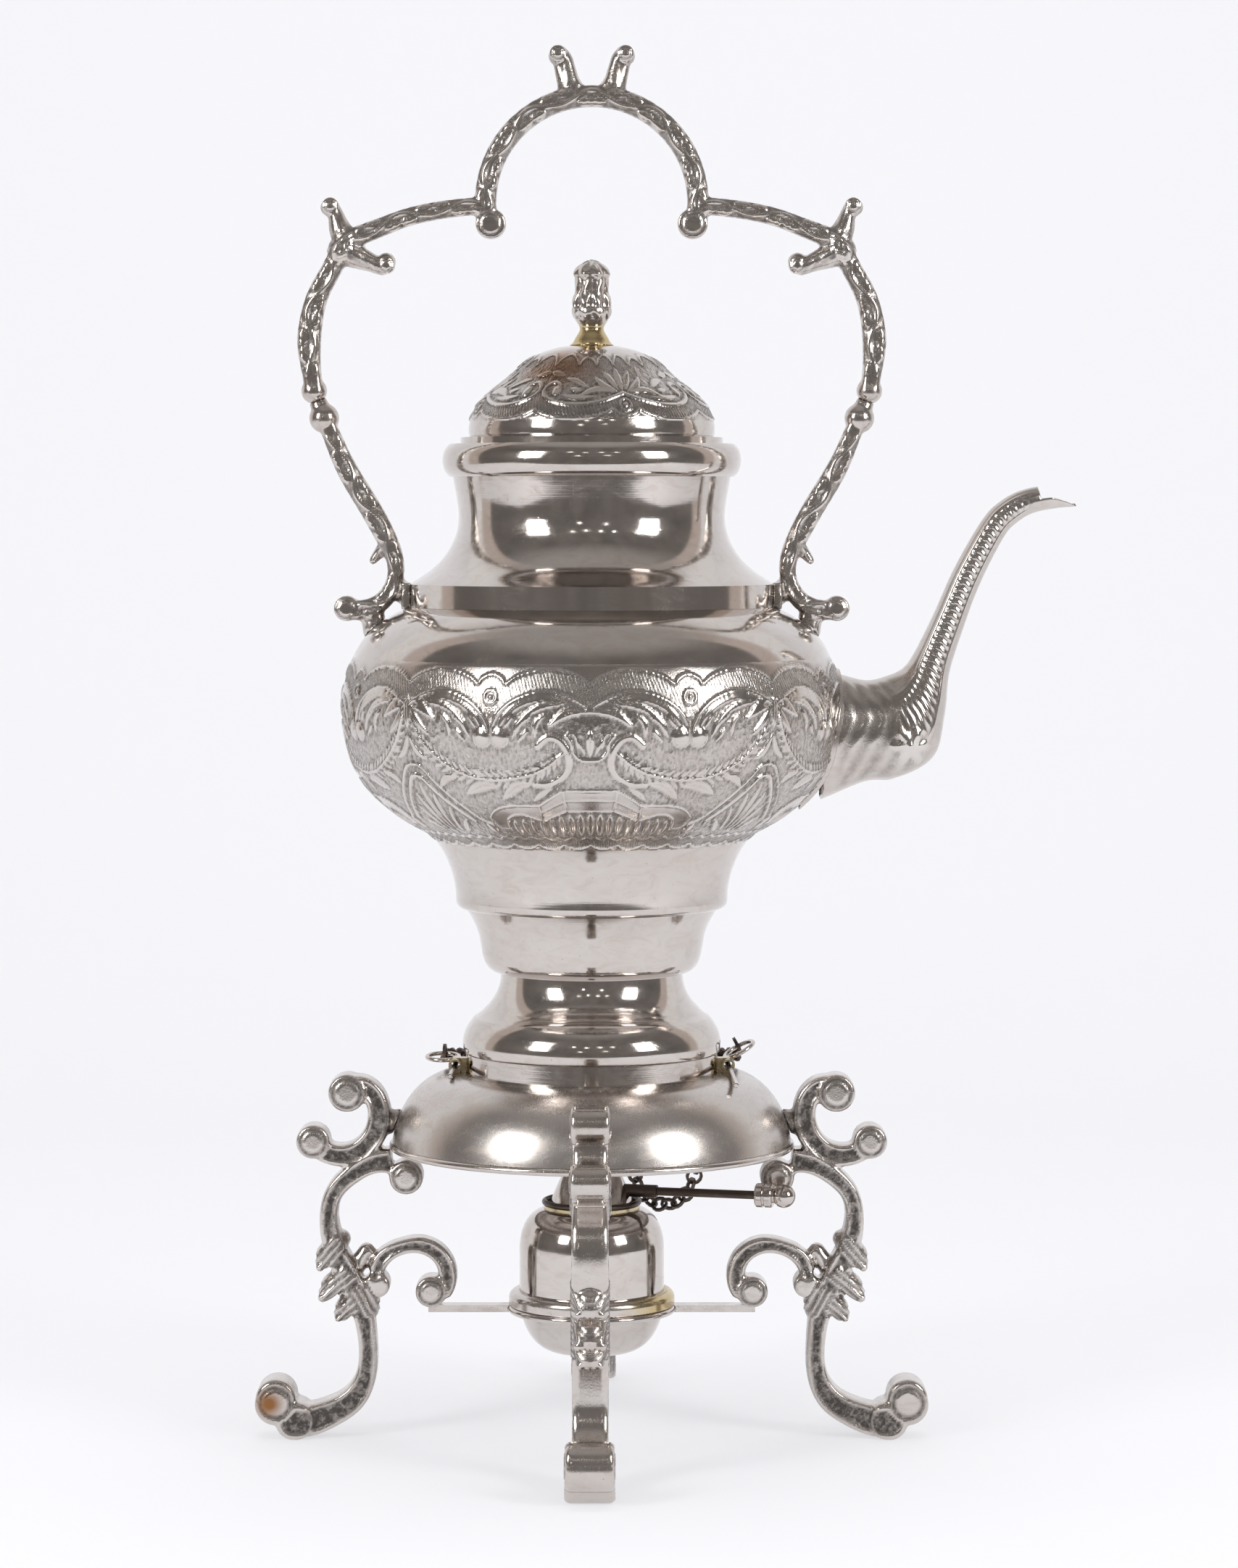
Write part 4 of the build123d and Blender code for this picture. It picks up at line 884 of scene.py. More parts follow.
def recess_dirt_and_shade_group():
    """Darkening where a relief is low, tarnish and painted shade together, and clean metal on what stands
    proud.
    """
    inputs = [
        ("Metal", COLOUR, (0.6, 0.56, 0.52, 1)), ("Dirt", COLOUR, (0.06, 0.05, 0.045, 1)),
        ("Recess", FLOAT, 0.0), ("Worn Edge", FLOAT, 0.0), ("Amount", FLOAT, 0.8), ("Roughness", FLOAT, 0.2),
    ]
    tree, start, end = new_group("Recess Dirt", inputs, WEAR)
    place = tree.nodes.new("ShaderNodeTexCoord").outputs["Object"]
    broken = noise(tree, place, 420, 5, 0.65, 0.4)
    patches = ranged(tree, broken, 0.28, 0.62, 0.45, 1.15)
    mask = math_node(tree, "MULTIPLY", start.outputs["Recess"], patches, True)
    mask = math_node(tree, "MULTIPLY", mask, start.outputs["Amount"], True)
    # Painted shade and tarnish in the hollows, mixed into the metal's colour
    darkened = mix_colours(tree, mask, start.outputs["Metal"], start.outputs["Dirt"])
    bright = math_node(tree, "MULTIPLY", start.outputs["Worn Edge"], 0.6, True)
    wire(tree, mix_colours(tree, bright, darkened, (0.78, 0.745, 0.71, 1)), end.inputs["Color"])
    rough = math_node(tree, "ADD", start.outputs["Roughness"], math_node(tree, "MULTIPLY", mask, 0.32))
    wire(tree, rough, end.inputs["Roughness"])
    depth = math_node(tree, "ADD", start.outputs["Recess"], 0.12, True)
    wire(tree, math_node(tree, "MULTIPLY", noise(tree, place, 1500, 2, 0.5), depth), end.inputs["Height"])


def attribute(tree, name):
    """A mask that is stored on the mesh."""
    node = tree.nodes.new("ShaderNodeAttribute")
    node.attribute_name = name
    return node.outputs["Fac"]


def bumped(tree, shader, height, strength, distance):
    """Sends a height to the shader as a bump."""
    node = tree.nodes.new("ShaderNodeBump")
    node.inputs["Strength"].default_value = strength
    node.inputs["Distance"].default_value = distance
    wire(tree, height, node.inputs["Height"])
    wire(tree, node.outputs["Normal"], shader.inputs["Normal"])


def grouped(tree, group, **inputs):
    """A shared effect with its inputs, as its three outputs."""
    node = tree.nodes.new("ShaderNodeGroup")
    node.node_tree = bpy.data.node_groups[group]
    for name, value in inputs.items():
        socket = node.inputs[name.replace("_", " ")]
        if isinstance(value, bpy.types.NodeSocket):
            wire(tree, value, socket)
        else:
            socket.default_value = value
    return [node.outputs[name] for name in ("Color", "Roughness", "Height")]


def metal(name, smooth, dull, pits, plate, tarnish):
    """A new metal with the shared wear: its tree, its shader and the wear's outputs."""
    material = bpy.data.materials.new(name)
    material.use_nodes = True
    tree = material.node_tree
    shader = tree.nodes["Principled BSDF"]
    shader.inputs["Metallic"].default_value = 1.0
    worn = grouped(
        tree, "Worn Plate", Plate=tuple(plate), Tarnish=tuple(tarnish), Smooth=smooth, Dull=dull, Pits=pits
    )
    return tree, shader, worn


def coat(tree, shader, colour, rough, height, bump, distance):
    """Joins a finish to its shader."""
    wire(tree, colour, shader.inputs["Base Color"])
    wire(tree, rough, shader.inputs["Roughness"])
    bumped(tree, shader, height, bump, distance)


def dirtied_and_shaded(tree, metal_colour, rough, dirt_and_shade, amount):
    """The shared darkening of the hollows, tarnish and painted shade, fed by the masks of the mesh."""
    return grouped(
        tree, "Recess Dirt", Metal=metal_colour, Dirt=tuple(dirt_and_shade), Recess=attribute(tree, "recess"),
        Worn_Edge=attribute(tree, "worn_edge"), Amount=amount, Roughness=rough,
    )


def polished_metal(name, colour, tarnish, smooth, dull, pits, bump=0.10):
    """Smooth metal with the shared wear."""
    tree, shader, worn = metal(name, smooth, dull, pits, colour, tarnish)
    coat(tree, shader, *worn, bump, 0.0002)


def relief_metal(name, finish, smooth, dull, amount, bump, dirt_and_shade=None):
    """Plate over a relief, darkened in what is low by tarnish and painted shade, and rust where the mesh says
    so.
    """
    tree, shader, (colour, rough, _) = metal(name, smooth, dull, 0.8, finish.plate, finish.tarnish)
    colour, rough, height = dirtied_and_shaded(tree, colour, rough, dirt_and_shade or finish.patina_and_shade, amount)
    rusted = mix_colours(tree, attribute(tree, "rusty"), colour, tuple(finish.rust))
    coat(tree, shader, rusted, rough, height, bump, 0.0003)


def stained_metal(name, finish, centre, radius, smooth, dull, relief):
    """Plate with a warm stain round one place, as on the lid."""
    tree, shader, (colour, rough, height) = metal(name, smooth, dull, 0.6, finish.plate, finish.tarnish)
    place = tree.nodes.new("ShaderNodeTexCoord").outputs["Object"]
    far = tree.nodes.new("ShaderNodeVectorMath")
    far.operation = "DISTANCE"
    wire(tree, place, far.inputs[0])
    far.inputs[1].default_value = centre
    ragged = math_node(tree, "MULTIPLY", noise(tree, place, 60, 5, 0.6, 0.8), radius * 0.9)
    edge = math_node(tree, "ADD", far.outputs["Value"], ragged)
    mask = ranged(tree, edge, radius * 0.75, radius * 1.45, 0.85, 0.0)
    colour = mix_colours(tree, mask, colour, tuple(finish.rust))
    if relief:
        colour, rough, height = dirtied_and_shaded(tree, colour, rough, finish.patina_and_shade, 0.8)
    coat(tree, shader, colour, rough, height, 0.35 if relief else 0.1, 0.0003)


def coordinate(tree, place, axis):
    """One coordinate of a place."""
    parts = tree.nodes.new("ShaderNodeSeparateXYZ")
    wire(tree, place, parts.inputs[0])
    return parts.outputs[axis]


def half_gilt_metal(name, finish, axis, low, high):
    """Plate that is worn through to the brass on one side or end."""
    tree, shader, (colour, rough, height) = metal(name, 0.16, 0.34, 0.5, finish.plate, finish.tarnish)
    place = tree.nodes.new("ShaderNodeTexCoord").outputs["Object"]
    ragged = math_node(tree, "MULTIPLY", noise(tree, place, 160, 5, 0.6), abs(high - low) * 0.8)
    mask = ranged(tree, math_node(tree, "ADD", coordinate(tree, place, axis), ragged), low, high)
    coat(tree, shader, mix_colours(tree, mask, colour, tuple(finish.brass)), rough, height, 0.15, 0.0002)


def cotton(name, finish):
    """Twisted fibre, charred at the top."""
    material = bpy.data.materials.new(name)
    material.use_nodes = True
    tree = material.node_tree
    shader = tree.nodes["Principled BSDF"]
    place = tree.nodes.new("ShaderNodeTexCoord").outputs["Object"]
    strands = noise(tree, stretched(tree, place, (2600, 2600, 260)), 1.0, 3, 0.6)
    char = ranged(tree, coordinate(tree, place, "Z"), 0.0905, 0.0945)
    fibre = mix_colours(tree, strands, tuple(finish.cotton), (0.36, 0.31, 0.24, 1))
    wire(tree, mix_colours(tree, char, fibre, (0.02, 0.018, 0.016, 1)), shader.inputs["Base Color"])
    shader.inputs["Roughness"].default_value = 0.95
    bumped(tree, shader, strands, 0.8, 0.0006)


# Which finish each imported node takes
NODE_FINISH = {
    "Polished Plate": (
        "body_bulb", "neck_shoulder", "neck_rim", "lower_cup", "kettle_foot", "lid_flange", "lamp_reservoir",
        "snuffer_cone", "snuffer_knob", "lamp_ring",
    ),
    "Satin Plate": ("stand_dome", "spout_collar"),
    "Rim Wire": (
        "dome_rim", "left_pin", "right_pin", "lamp_strap_right", "lamp_strap_back", "lamp_strap_left",
        "lamp_strap_front",
    ),
    "Brassy Plate": (
        "kettle_lug_left", "kettle_lug_right", "stand_lug_left_front", "stand_lug_left_back",
        "stand_lug_right_front", "stand_lug_right_back", "finial_nut", "burner_plate", "wick_tube",
    ),
    "Dark Iron": ("burner_collar", "snuffer_socket", "snuffer_rod"),
    "Stained Lid": ("lid_dome",),
    "Half Gilt Bead": ("lamp_bead",),
    "Wick Cotton": ("wick",),
}


class KETTLE_OT_materials(bpy.types.Operator):
    """Makes every finish"""

    bl_idname = "kettle.materials"
    bl_label = "Finishes"

    def execute(self, context):
        finish = context.scene.kettle_finish
        worn_plate_group()
        recess_dirt_and_shade_group()
        plate, tarnish = tuple(finish.plate), tuple(finish.tarnish)
        satin, yellowed, brown = (0.62, 0.585, 0.56, 1), (0.60, 0.51, 0.35, 1), (0.16, 0.13, 0.11, 1)
        # A lighter colour for the hollows of the chased bands: tarnish and painted shade
        thin_dirt_and_shade = (0.20, 0.185, 0.172, 1)
        polished_metal("Polished Plate", plate, tarnish, smooth=0.085, dull=0.20, pits=0.35)
        polished_metal("Satin Plate", satin, tarnish, smooth=0.25, dull=0.33, pits=0.2, bump=0.04)
        polished_metal("Rim Wire", plate, tarnish, smooth=0.16, dull=0.34, pits=0.7, bump=0.2)
        polished_metal("Brassy Plate", yellowed, finish.brass, smooth=0.2, dull=0.42, pits=0.9, bump=0.3)
        polished_metal("Dark Iron", finish.iron, brown, smooth=0.34, dull=0.6, pits=0.9, bump=0.4)
        relief_metal("Chased Plate", finish, smooth=0.14, dull=0.26, amount=0.8, bump=0.35, dirt_and_shade=thin_dirt_and_shade)
        relief_metal("Cast Plate", finish, smooth=0.16, dull=0.34, amount=0.92, bump=0.6)
        relief_metal("Handle Plate", finish, smooth=0.16, dull=0.30, amount=0.55, bump=0.5)
        stain = {"centre": (-0.013, -0.028, 0.3865), "radius": 0.019}
        stained_metal("Stained Lid", finish, **stain, smooth=0.09, dull=0.22, relief=False)
        stained_metal("Stained Chasing", finish, **stain, smooth=0.10, dull=0.24, relief=True)
        half_gilt_metal("Half Gilt Bead", finish, axis="X", low=0.014, high=0.028)
        half_gilt_metal("Half Gilt Finial", finish, axis="Z", low=0.4035, high=0.3995)
        cotton("Wick Cotton", finish)
        return {"FINISHED"}


class KETTLE_OT_shells(bpy.types.Operator):
    """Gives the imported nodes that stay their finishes"""

    bl_idname = "kettle.shells"
    bl_label = "Shells and fittings"

    def execute(self, context):
        for finish, nodes in NODE_FINISH.items():
            for node in nodes:
                for slot in frame["nodes"][node].material_slots:
                    slot.material = bpy.data.materials[finish]
        return {"FINISHED"}


def outer_profile(node, low, high, count):
    """The outer radius of a spun node at even heights, read from the frame."""
    mesh = frame["nodes"][node].data
    places, normals = corners(mesh), corner_normals(mesh)
    radii, levels = np.maximum(np.hypot(places[:, 0], places[:, 1]), 0.001), places[:, 2]
    outward = (places[:, 0] * normals[:, 0] + places[:, 1] * normals[:, 1]) / radii > 0.2
    radii, levels = radii[outward], levels[outward]
    heights = np.unique(np.round(levels, 2))
    outer = np.array([radii[np.abs(levels - z) < 0.006].max() for z in heights])
    steps = np.linspace(low, high, count)
    return list(zip(np.interp(steps, heights, outer), steps))


class KETTLE_OT_body_chasing(bpy.types.Operator):
    """Raises the chased band round the bulb, in four panels"""

    bl_idname = "kettle.body_chasing"
    bl_label = "Chased band of the body"

    def execute(self, context):
        sizes = context.scene.kettle_sizes
        profile = outer_profile("body_bulb", BAND_FOOT, BAND_TOP, 30)
        for side, turn in (("front", -90), ("right", 0), ("back", 90), ("left", 180)):
            name = f"body_chasing_{side}"
            piece = chased_panel(name, profile, bulb_relief, HALF_PANEL, 360, 132, turn, sizes)
            finish_piece(piece, "kettle", "bright_plate", bpy.data.materials["Chased Plate"])
        return {"FINISHED"}


class KETTLE_OT_lid_chasing(bpy.types.Operator):
    """Raises the chased band of the lid, in four panels"""

    bl_idname = "kettle.lid_chasing"
    bl_label = "Chased band of the lid"

    def execute(self, context):
        sizes = context.scene.kettle_sizes
        profile = outer_profile("lid_dome", LID_BAND_FOOT, LID_BAND_TOP, 16)
        for side, turn in (("front", -73), ("right", 17), ("back", 107), ("left", 197)):
            name = f"lid_chasing_{side}"
            piece = chased_panel(name, profile, lid_relief, LID_HALF_PANEL, 176, 74, turn, sizes)
            finish_piece(piece, "lid", "bright_plate", bpy.data.materials["Stained Chasing"])
        return {"FINISHED"}


class KETTLE_OT_handle(bpy.types.Operator):
    """Carves the bail and the two arms"""

    bl_idname = "kettle.handle"
    bl_label = "Cast handle"

    def execute(self, context):
        sizes = context.scene.kettle_sizes
        for node, bars in (
            ("handle_bail", (ARCH, SHOULDER_BAR, SIDE_BAR)),
            ("handle_arm_left", (ARM_BAR,)),
            ("handle_arm_right", (ARM_BAR,)),
        ):
            limbs = BAIL_CURLS if node == "handle_bail" else ()
            piece = remeshed(node, node.replace("handle", "carved"), sizes.cast_voxel, 2, limbs)
            carve_handle(piece, sizes, bars)
            finish_piece(piece, "kettle", "cast_plate", bpy.data.materials["Handle Plate"], node)
        return {"FINISHED"}


class KETTLE_OT_legs(bpy.types.Operator):
    """Carves the four legs"""

    bl_idname = "kettle.legs"
    bl_label = "Cast legs"

    def execute(self, context):
        sizes = context.scene.kettle_sizes
        for side, turn in (("right", 0), ("back", 90), ("left", 180), ("front", 270)):
            node = f"leg_{side}"
            piece = remeshed(node, f"carved_leg_{side}", sizes.cast_voxel * 1.1, 2, KNOT_LIMBS, turn, 1.35)
            carve_leg(piece, sizes, turn)
            finish_piece(piece, "stand", "cast_plate", bpy.data.materials["Cast Plate"], node)
        return {"FINISHED"}


class KETTLE_OT_finial(bpy.types.Operator):
    """Carves the bud on the lid"""

    bl_idname = "kettle.finial"
    bl_label = "Finial"

    def execute(self, context):
        piece = remeshed("lid_finial", "carved_finial", 0.0004, 1)
        places, normals = corners(piece.data), corner_normals(piece.data)
        angle = np.arctan2(places[:, 1], places[:, 0])
        rise = places[:, 2] - finial_z
        overlap = np.abs(np.sin(4 * angle + 0.6 * np.sin(rise / 2.0)))
        tips = 0.5 + 0.5 * np.cos(2 * pi * (rise - 2.2 * np.abs(np.cos(4 * angle))) / 5.2)
        bud = step_between(rise, 8.0, 10.5) * step_between(40 - rise, 0, 4)
        lift = (overlap * 0.7 + tips * 0.5 - 0.6) * 0.65 * bud
        # Painted shade and tarnish where the petals overlap
        recess = step_between(0.35 - overlap * tips, 0.0, 0.35) * bud
        carve(piece, places, normals, lift, recess)
        finish_piece(piece, "lid", "worn_brass", bpy.data.materials["Half Gilt Finial"], "lid_finial")
        return {"FINISHED"}


# Spout, written from the belly as out, up, half height, half width and heading
SPOUT = [
    (-11.0, -7.3, 25.5, 18.0, -9), (7.0, -4.6, 18.6, 15.0, 2), (16.0, -3.9, 18.2, 13.8, 10),
    (25.7, 0.8, 16.7, 12.4, 27), (30.2, 9.8, 11.3, 10.4, 40), (33.0, 20.1, 7.4, 8.5, 56),
    (39.2, 35.9, 5.9, 6.6, 67), (45.7, 51.5, 5.4, 5.8, 64), (54.8, 68.1, 5.0, 5.2, 55),
    (60.6, 74.2, 4.9, 5.0, 38), (67.5, 77.9, 4.6, 4.7, 19), (76.5, 79.6, 4.3, 4.4, 7),
    (84.5, 80.2, 4.1, 4.2, 4),
]
SPOUT_RINGS, SPOUT_SIDES = 260, 112
BRAID_PITCH = 5.0
FLOWER_X, FLOWER_Z = 114.0, 248.5  # the flower at the elbow
LIP_CUT, TONGUE_ROOT, TONGUE_TIP = 71.6, 75.8, 84.5  # outwards from the belly


class KETTLE_OT_spout(bpy.types.Operator):
    """Lofts the spout with its braid, and cuts its lip"""

    bl_idname = "kettle.spout"
    bl_label = "Spout"

    def execute(self, context):
        bpy.ops.object.select_all(action="DESELECT")
        bpy.ops.mesh.primitive_grid_add(x_subdivisions=SPOUT_SIDES, y_subdivisions=SPOUT_RINGS, size=1)
        piece = context.object
        piece.name = piece.data.name = "chased_spout"
        grid = corners(piece.data) * MM
        turn = np.rint((grid[:, 0] + 0.5) * SPOUT_SIDES) / SPOUT_SIDES * 2 * pi
        ring = np.rint((grid[:, 1] + 0.5) * SPOUT_RINGS).astype(int)
        line = flowing(SPOUT, 30)
        run = np.concatenate([[0], np.cumsum(np.hypot(*np.diff(line[:, :2], axis=0).T))])
        steps = np.linspace(6.0, run[-1], SPOUT_RINGS + 1)
        out, up, tall, wide, heading = (np.interp(steps, run, line[:, i])[ring] for i in range(5))
        heading = np.radians(heading)
        along = steps[ring] - steps[0]
        side = np.sin(turn)
        rise = np.cos(turn)
        # The braid runs up each side between two ridges
        lean = np.arctan2(rise, np.abs(side))
        band = np.clip(1 - (lean / 0.50) ** 2, 0, 1)
        braid = np.abs(np.sin(2 * pi * along / BRAID_PITCH + 2.6 * np.abs(lean)))
        braid *= step_between(band, 0.0, 0.25)
        rails = np.exp(-(((np.abs(lean) - 0.62) / 0.10) ** 2))
        start = step_between(along, 20, 34) * step_between(steps[-1] - steps[0] - along, 12, 24)
        relief = np.maximum(0.55 * braid, 0.50 * rails) * start
        leaves = 0.5 + 0.5 * np.sin(2 * pi * (along + 9 * np.abs(lean - 0.3)) / 6.4)
        low = step_between(34 - along, 0, 8) * step_between(along, 3, 7)
        low *= step_between(np.abs(side), 0.25, 0.6)
        relief = np.maximum(relief, 0.28 * leaves * low)
        x = belly_r + out - (tall + relief) * rise * np.sin(heading)
        y = (wide + relief) * side
        z = belly_z + up + (tall + relief) * rise * np.cos(heading)
        flower = np.hypot(x - FLOWER_X, z - FLOWER_Z)
        bloom = np.arctan2(z - FLOWER_Z, x - FLOWER_X)
        petals = np.clip(1 - flower / (6.0 + 1.6 * np.cos(6 * bloom)), 0, 1) ** 0.5
        heart = np.clip(1 - flower / 2.0, 0, 1) ** 0.5
        bumps = np.maximum(petals * 1.5, heart * 2.4) * step_between(np.abs(side), 0.3, 0.7)
        y += np.sign(side) * bumps
        # The tongue narrows to its point past the cut
        past = np.clip((out - TONGUE_ROOT) / (TONGUE_TIP - TONGUE_ROOT), 0, 1)
        narrow = (1 - past) ** 0.8
        bottom_x = belly_r + out + tall * np.sin(heading)
        bottom_z = belly_z + up - tall * np.cos(heading)
        x = bottom_x + (x - bottom_x) * narrow
        z = bottom_z + (z - bottom_z) * narrow
        y *= narrow
        # The root lies on the body
        radius = np.hypot(x, y)
        shell = np.interp(z, *np.array([(h, r) for r, h in outer_profile("body_bulb", 200, 297, 40)]).T)
        inner = radius < shell + 0.1
        x[inner] *= ((shell + 0.1) / radius)[inner]
        y[inner] *= ((shell + 0.1) / radius)[inner]
        put_corners(piece.data, np.column_stack([x, y, z]))
        around = relief + bumps
        chased = np.maximum(start * (np.abs(lean) < 0.75), low)
        # Painted shade and tarnish between the raised braid, rails and leaves
        put_mask(piece.data, "recess", np.clip(0.55 - around * 1.6, 0, 1) * chased)
        put_mask(piece.data, "worn_edge", around * 0.7)
        self.cut_lip(piece, out, rise)
        select_only(piece)
        bpy.ops.object.mode_set(mode="EDIT")
        bpy.ops.mesh.select_all(action="SELECT")
        bpy.ops.mesh.remove_doubles(threshold=0.00002)
        bpy.ops.mesh.normals_make_consistent(inside=False)
        bpy.ops.object.mode_set(mode="OBJECT")
        wall = piece.modifiers.new("Wall", "SOLIDIFY")
        wall.thickness = 0.0011
        wall.offset = -1
        apply_modifiers(piece)
        finish_piece(piece, "kettle", "bright_plate", bpy.data.materials["Chased Plate"], "spout")
        return {"FINISHED"}

    def cut_lip(self, piece, out, rise):
        """Takes away the upper half of the tube past the cut."""
        shape = bmesh.new()
        shape.from_mesh(piece.data)
        shape.verts.ensure_lookup_table()
        doomed = [
            face
            for face in shape.faces
            if all(out[corner.index] > LIP_CUT and rise[corner.index] > -0.06 for corner in face.verts)
        ]
        bmesh.ops.delete(shape, geom=doomed, context="FACES")
        shape.to_mesh(piece.data)
        shape.free()


class KETTLE_OT_chain(bpy.types.Operator):
    """Splits the chain between the pins into two halves, left and right"""

    bl_idname = "kettle.chain"
    bl_label = "Pin chain"

    def execute(self, context):
        whole = copy_of("pin_chain", "chain_whole")
        before = set(bpy.data.objects)
        select_only(whole)
        bpy.ops.object.mode_set(mode="EDIT")
        bpy.ops.mesh.select_all(action="SELECT")
        bpy.ops.mesh.separate(type="LOOSE")
        bpy.ops.object.mode_set(mode="OBJECT")
        links = [whole] + sorted(set(bpy.data.objects) - before, key=lambda link: link.name)
        halves = {"left": [], "right": []}
        for link in links:
            centre = corners(link.data).mean(0)
            halves["left" if centre[0] < 2.0 else "right"].append(link)
        for side, mine in halves.items():
            select_only(*mine)
            bpy.ops.object.join()
            piece = mine[0]
            piece.name = piece.data.name = f"chain_{side}"
            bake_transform(piece)
            finish_piece(piece, None, "dark_metal", bpy.data.materials["Dark Iron"], "pin_chain")
            bpy.ops.object.shade_flat()
        return {"FINISHED"}


# Small lamps behind the camera, which show as points of light in the plate
CEILING_LAMPS = (
    (-0.9, -3.0, 1.9), (-0.25, -3.2, 1.8), (0.45, -3.1, 1.85), (1.1, -3.0, 1.9), (-0.6, -3.4, 1.0),
    (0.75, -3.3, 1.1),
)


class KETTLE_OT_studio(bpy.types.Operator):
    """Sets the paper sweep, the lamps, the dark room and the camera"""

    bl_idname = "kettle.studio"
    bl_label = "Studio"

    def execute(self, context):
        studio = context.scene.kettle_studio
        self.sweep(studio)
        self.lamps(studio)
        self.ceiling_lamps()
        self.room(context.scene)
        self.camera(context.scene, studio)
        context.scene.view_settings.view_transform = "Standard"
        return {"FINISHED"}

    def paper(self, studio):
        """White paper that glows a little where the camera or the plate sees it."""
        material = bpy.data.materials.new("Paper")
        material.use_nodes = True
        tree = material.node_tree
        shader = tree.nodes["Principled BSDF"]
        shader.inputs["Roughness"].default_value = 0.9
        place = tree.nodes.new("ShaderNodeTexCoord").outputs["Object"]
        cloud = noise(tree, place, 2.5, 3, 0.5)
        white = tuple(studio.paper)
        shaded = tuple(c * 0.985 for c in white[:3]) + (1,)
        wire(tree, mix_colours(tree, cloud, white, shaded), shader.inputs["Base Color"])
        glow = tree.nodes.new("ShaderNodeEmission")
        glow.inputs["Color"].default_value = (0.90, 0.90, 0.935, 1)
        seen = tree.nodes.new("ShaderNodeLightPath")
        looked_at = math_node(tree, "MAXIMUM", seen.outputs["Is Camera Ray"], seen.outputs["Is Glossy Ray"])
        share = math_node(tree, "MULTIPLY", looked_at, 0.62)
        mix = tree.nodes.new("ShaderNodeMixShader")
        wire(tree, share, mix.inputs["Fac"])
        wire(tree, shader.outputs["BSDF"], mix.inputs[1])
        wire(tree, glow.outputs["Emission"], mix.inputs[2])
        wire(tree, mix.outputs["Shader"], tree.nodes["Material Output"].inputs["Surface"])
        return material

    def sweep(self, studio):
        """A paper sheet on the table that curves up behind."""
        bpy.ops.object.select_all(action="DESELECT")
        bpy.ops.mesh.primitive_grid_add(x_subdivisions=2, y_subdivisions=40, size=1)
        sheet = bpy.context.object
        sheet.name = sheet.data.name = "paper_sweep"
        places = corners(sheet.data) * MM
        width, deep, front = 3.4, 3.6, -0.85
        run = (places[:, 1] + 0.5) * deep
        bend, radius = 1.7, 0.5
        turn = np.clip((run - bend) / radius, 0, pi / 2)
        y = front + np.minimum(run, bend) + radius * np.sin(turn)
        z = radius * (1 - np.cos(turn)) + np.maximum(run - bend - radius * pi / 2, 0)
        put_corners(sheet.data, np.column_stack([places[:, 0] * width, y, z]) / MM)
        sheet.data.materials.append(self.paper(studio))
        select_only(sheet)
        bpy.ops.object.shade_smooth()

    def lamps(self, studio):
        """Two softboxes at the front, and one above."""
        for name, place, size, tall, power in (
            ("softbox_left", (-1.05, -0.95, 0.78), 0.42, 0.62, studio.softbox),
            ("softbox_right", (1.10, -0.90, 0.74), 0.42, 0.62, studio.softbox),
            ("softbox_top", (0.0, 0.10, 1.75), 1.1, 0.9, studio.softbox * 0.9),
        ):
            bpy.ops.object.light_add(type="AREA", location=place)
            lamp = bpy.context.object
            lamp.name = lamp.data.name = name
            lamp.data.shape = "RECTANGLE"
            lamp.data.size, lamp.data.size_y = size, tall
            lamp.data.energy = power
            lamp.rotation_euler = (Vector((0, 0, 0.24)) - Vector(place)).to_track_quat("-Z", "Y").to_euler()
            lamp.visible_glossy = name != "softbox_top"

    def ceiling_lamps(self):
        """Small glowing panels behind the camera."""
        spot_material = bpy.data.materials.new("Ceiling Lamp")
        spot_material.use_nodes = True
        shader = spot_material.node_tree.nodes["Principled BSDF"]
        shader.inputs["Base Color"].default_value = (0, 0, 0, 1)
        shader.inputs["Emission Color"].default_value = (1, 0.98, 0.95, 1)
        shader.inputs["Emission Strength"].default_value = 9.0
        for i, place in enumerate(CEILING_LAMPS):
            bpy.ops.object.select_all(action="DESELECT")
            bpy.ops.mesh.primitive_grid_add(
                x_subdivisions=2, y_subdivisions=2, size=0.11, location=place, rotation=(radians(75), 0, 0)
            )
            lamp = bpy.context.object
            lamp.name = lamp.data.name = f"ceiling_lamp_{i}"
            lamp.data.materials.append(spot_material)

    def room(self, scene):
        """A pale studio behind the kettle and a dark room in front of it."""
        world = bpy.data.worlds.new("Room")
        world.use_nodes = True
        scene.world = world
        tree = world.node_tree
        direction = tree.nodes.new("ShaderNodeTexCoord").outputs["Generated"]
        parts = tree.nodes.new("ShaderNodeSeparateXYZ")
        wire(tree, direction, parts.inputs[0])
        shade = noise(tree, stretched(tree, direction, (2.2, 1, 1)), 2.4, 3, 0.5)
        dark = mix_colours(tree, shade, (0.10, 0.094, 0.09, 1), (0.27, 0.25, 0.24, 1))
        wall = ranged(tree, parts.outputs["Y"], 0.10, 0.15)
        room = mix_colours(tree, wall, dark, (0.60, 0.53, 0.49, 1))
        screen = ranged(tree, parts.outputs["Y"], 0.30, 0.36)
        room = mix_colours(tree, screen, room, (0.90, 0.895, 0.90, 1))
        ceiling = ranged(tree, parts.outputs["Z"], 0.72, 0.97)
        room = mix_colours(tree, ceiling, room, (0.40, 0.38, 0.37, 1))
        seen = tree.nodes.new("ShaderNodeLightPath")
        even = mix_colours(tree, seen.outputs["Is Diffuse Ray"], room, (0.60, 0.60, 0.61, 1))
        white = mix_colours(tree, seen.outputs["Is Camera Ray"], even, (0.90, 0.90, 0.935, 1))
        wire(tree, white, tree.nodes["Background"].inputs["Color"])
        tree.nodes["Background"].inputs["Strength"].default_value = 1.0

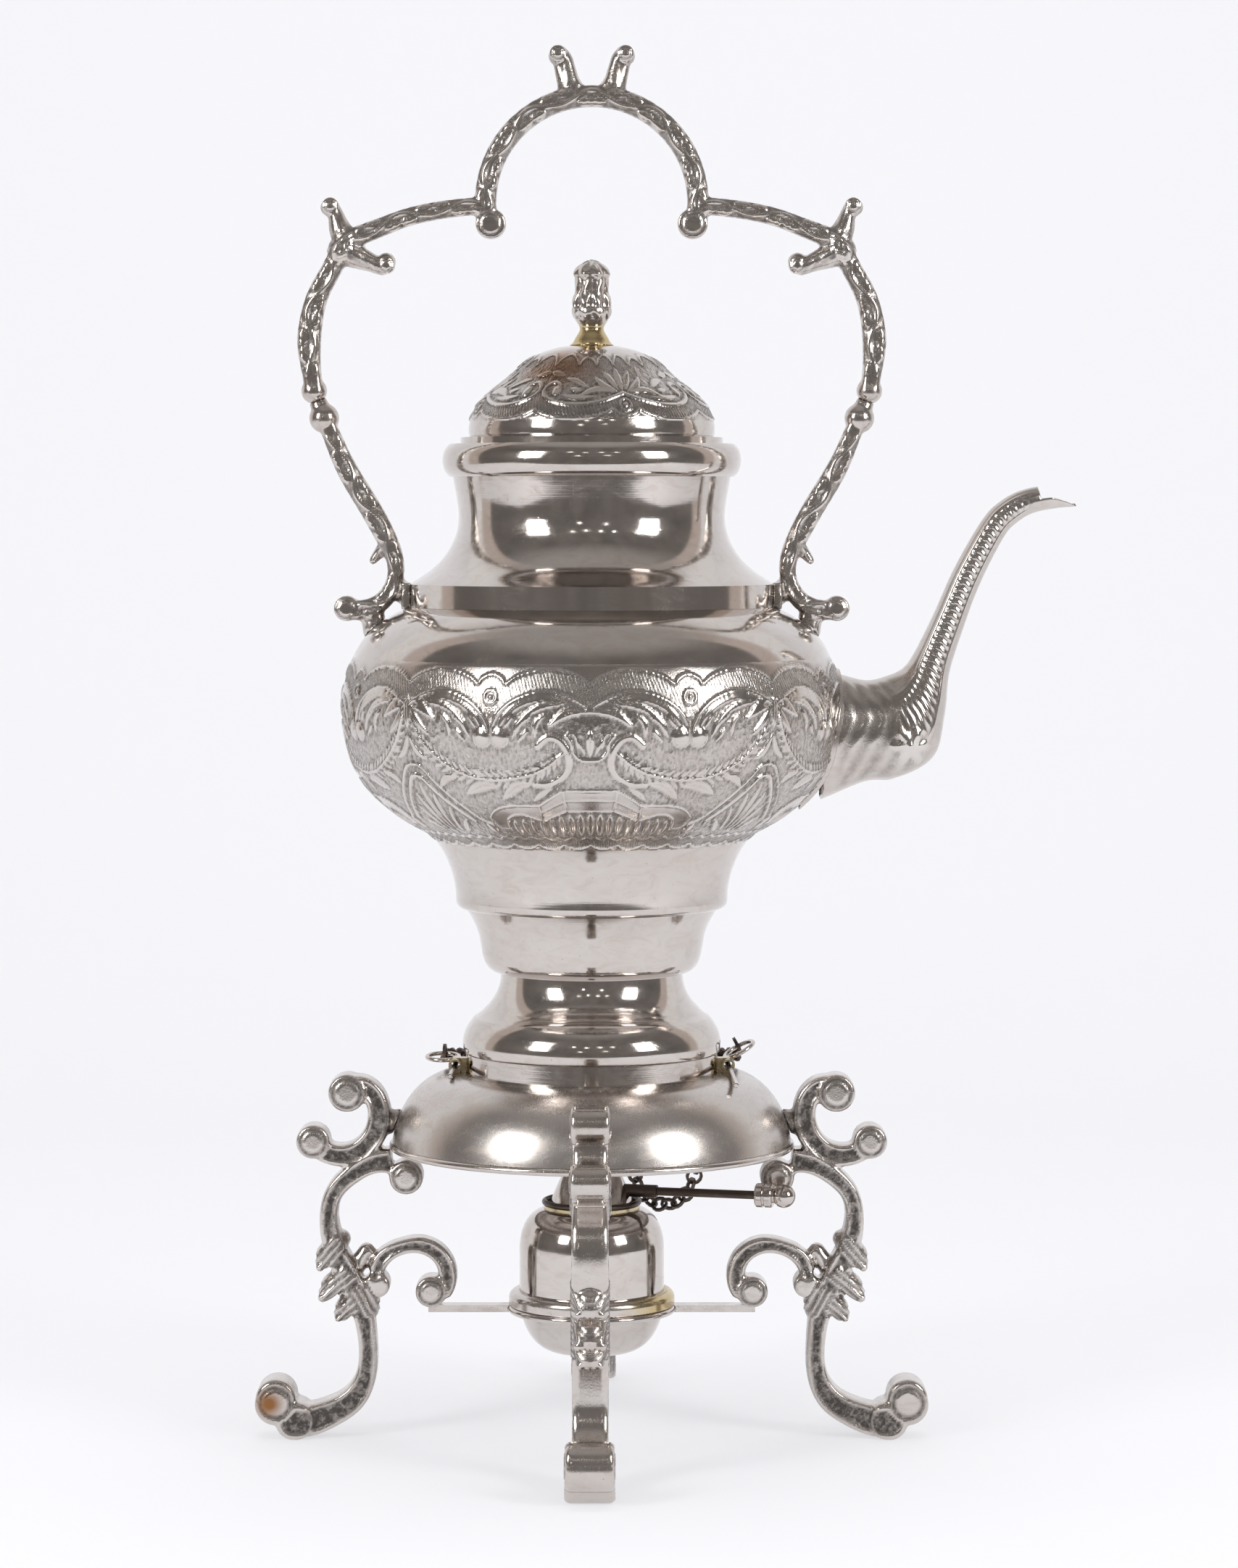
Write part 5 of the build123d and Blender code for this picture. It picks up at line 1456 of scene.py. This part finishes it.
    def camera(self, scene, studio):
        """The camera at the photo's eye level, shifted to its horizon."""
        place = (0.0098, -studio.distance, studio.eye)
        bpy.ops.object.camera_add(location=place, rotation=(radians(90), 0, 0))
        camera = bpy.context.object
        camera.name = "photo_camera"
        camera.data.lens = studio.lens
        camera.data.sensor_width = 36
        camera.data.sensor_fit = "AUTO"
        camera.data.shift_y = -(PHOTO_HEIGHT / 2 - HORIZON) / PHOTO_HEIGHT
        scene.camera = camera


class KETTLE_PT_panel(bpy.types.Panel):
    """Lists the sizes, the finishes and the steps"""

    bl_label = "Spirit Kettle"
    bl_idname = "KETTLE_PT_panel"
    bl_space_type = "VIEW_3D"
    bl_region_type = "UI"
    bl_category = "Kettle"

    def draw(self, context):
        for group in (context.scene.kettle_finish, context.scene.kettle_sizes, context.scene.kettle_studio):
            box = self.layout.box()
            for name in group.__annotations__:
                box.prop(group, name)
        for step in STEPS:
            self.layout.operator(step.bl_idname)


GROUPS = {"kettle_finish": KettleFinish, "kettle_sizes": KettleSizes, "kettle_studio": KettleStudio}
STEPS = (
    KETTLE_OT_materials, KETTLE_OT_shells, KETTLE_OT_body_chasing, KETTLE_OT_lid_chasing, KETTLE_OT_handle,
    KETTLE_OT_legs, KETTLE_OT_finial, KETTLE_OT_spout, KETTLE_OT_chain, KETTLE_OT_studio,
)


def register():
    for item in (*GROUPS.values(), *STEPS, KETTLE_PT_panel):
        bpy.utils.register_class(item)
    for name, group in GROUPS.items():
        setattr(bpy.types.Scene, name, bpy.props.PointerProperty(type=group))


def unregister():
    for name in GROUPS:
        delattr(bpy.types.Scene, name)
    for item in reversed((*GROUPS.values(), *STEPS, KETTLE_PT_panel)):
        bpy.utils.unregister_class(item)


def main():
    """Makes every piece in order."""
    register()
    bpy.ops.kettle.materials()
    bpy.ops.kettle.shells()
    bpy.ops.kettle.body_chasing()
    bpy.ops.kettle.lid_chasing()
    bpy.ops.kettle.handle()
    bpy.ops.kettle.legs()
    bpy.ops.kettle.finial()
    bpy.ops.kettle.spout()
    bpy.ops.kettle.chain()
    bpy.ops.kettle.studio()


if __name__ == "__main__":
    main()
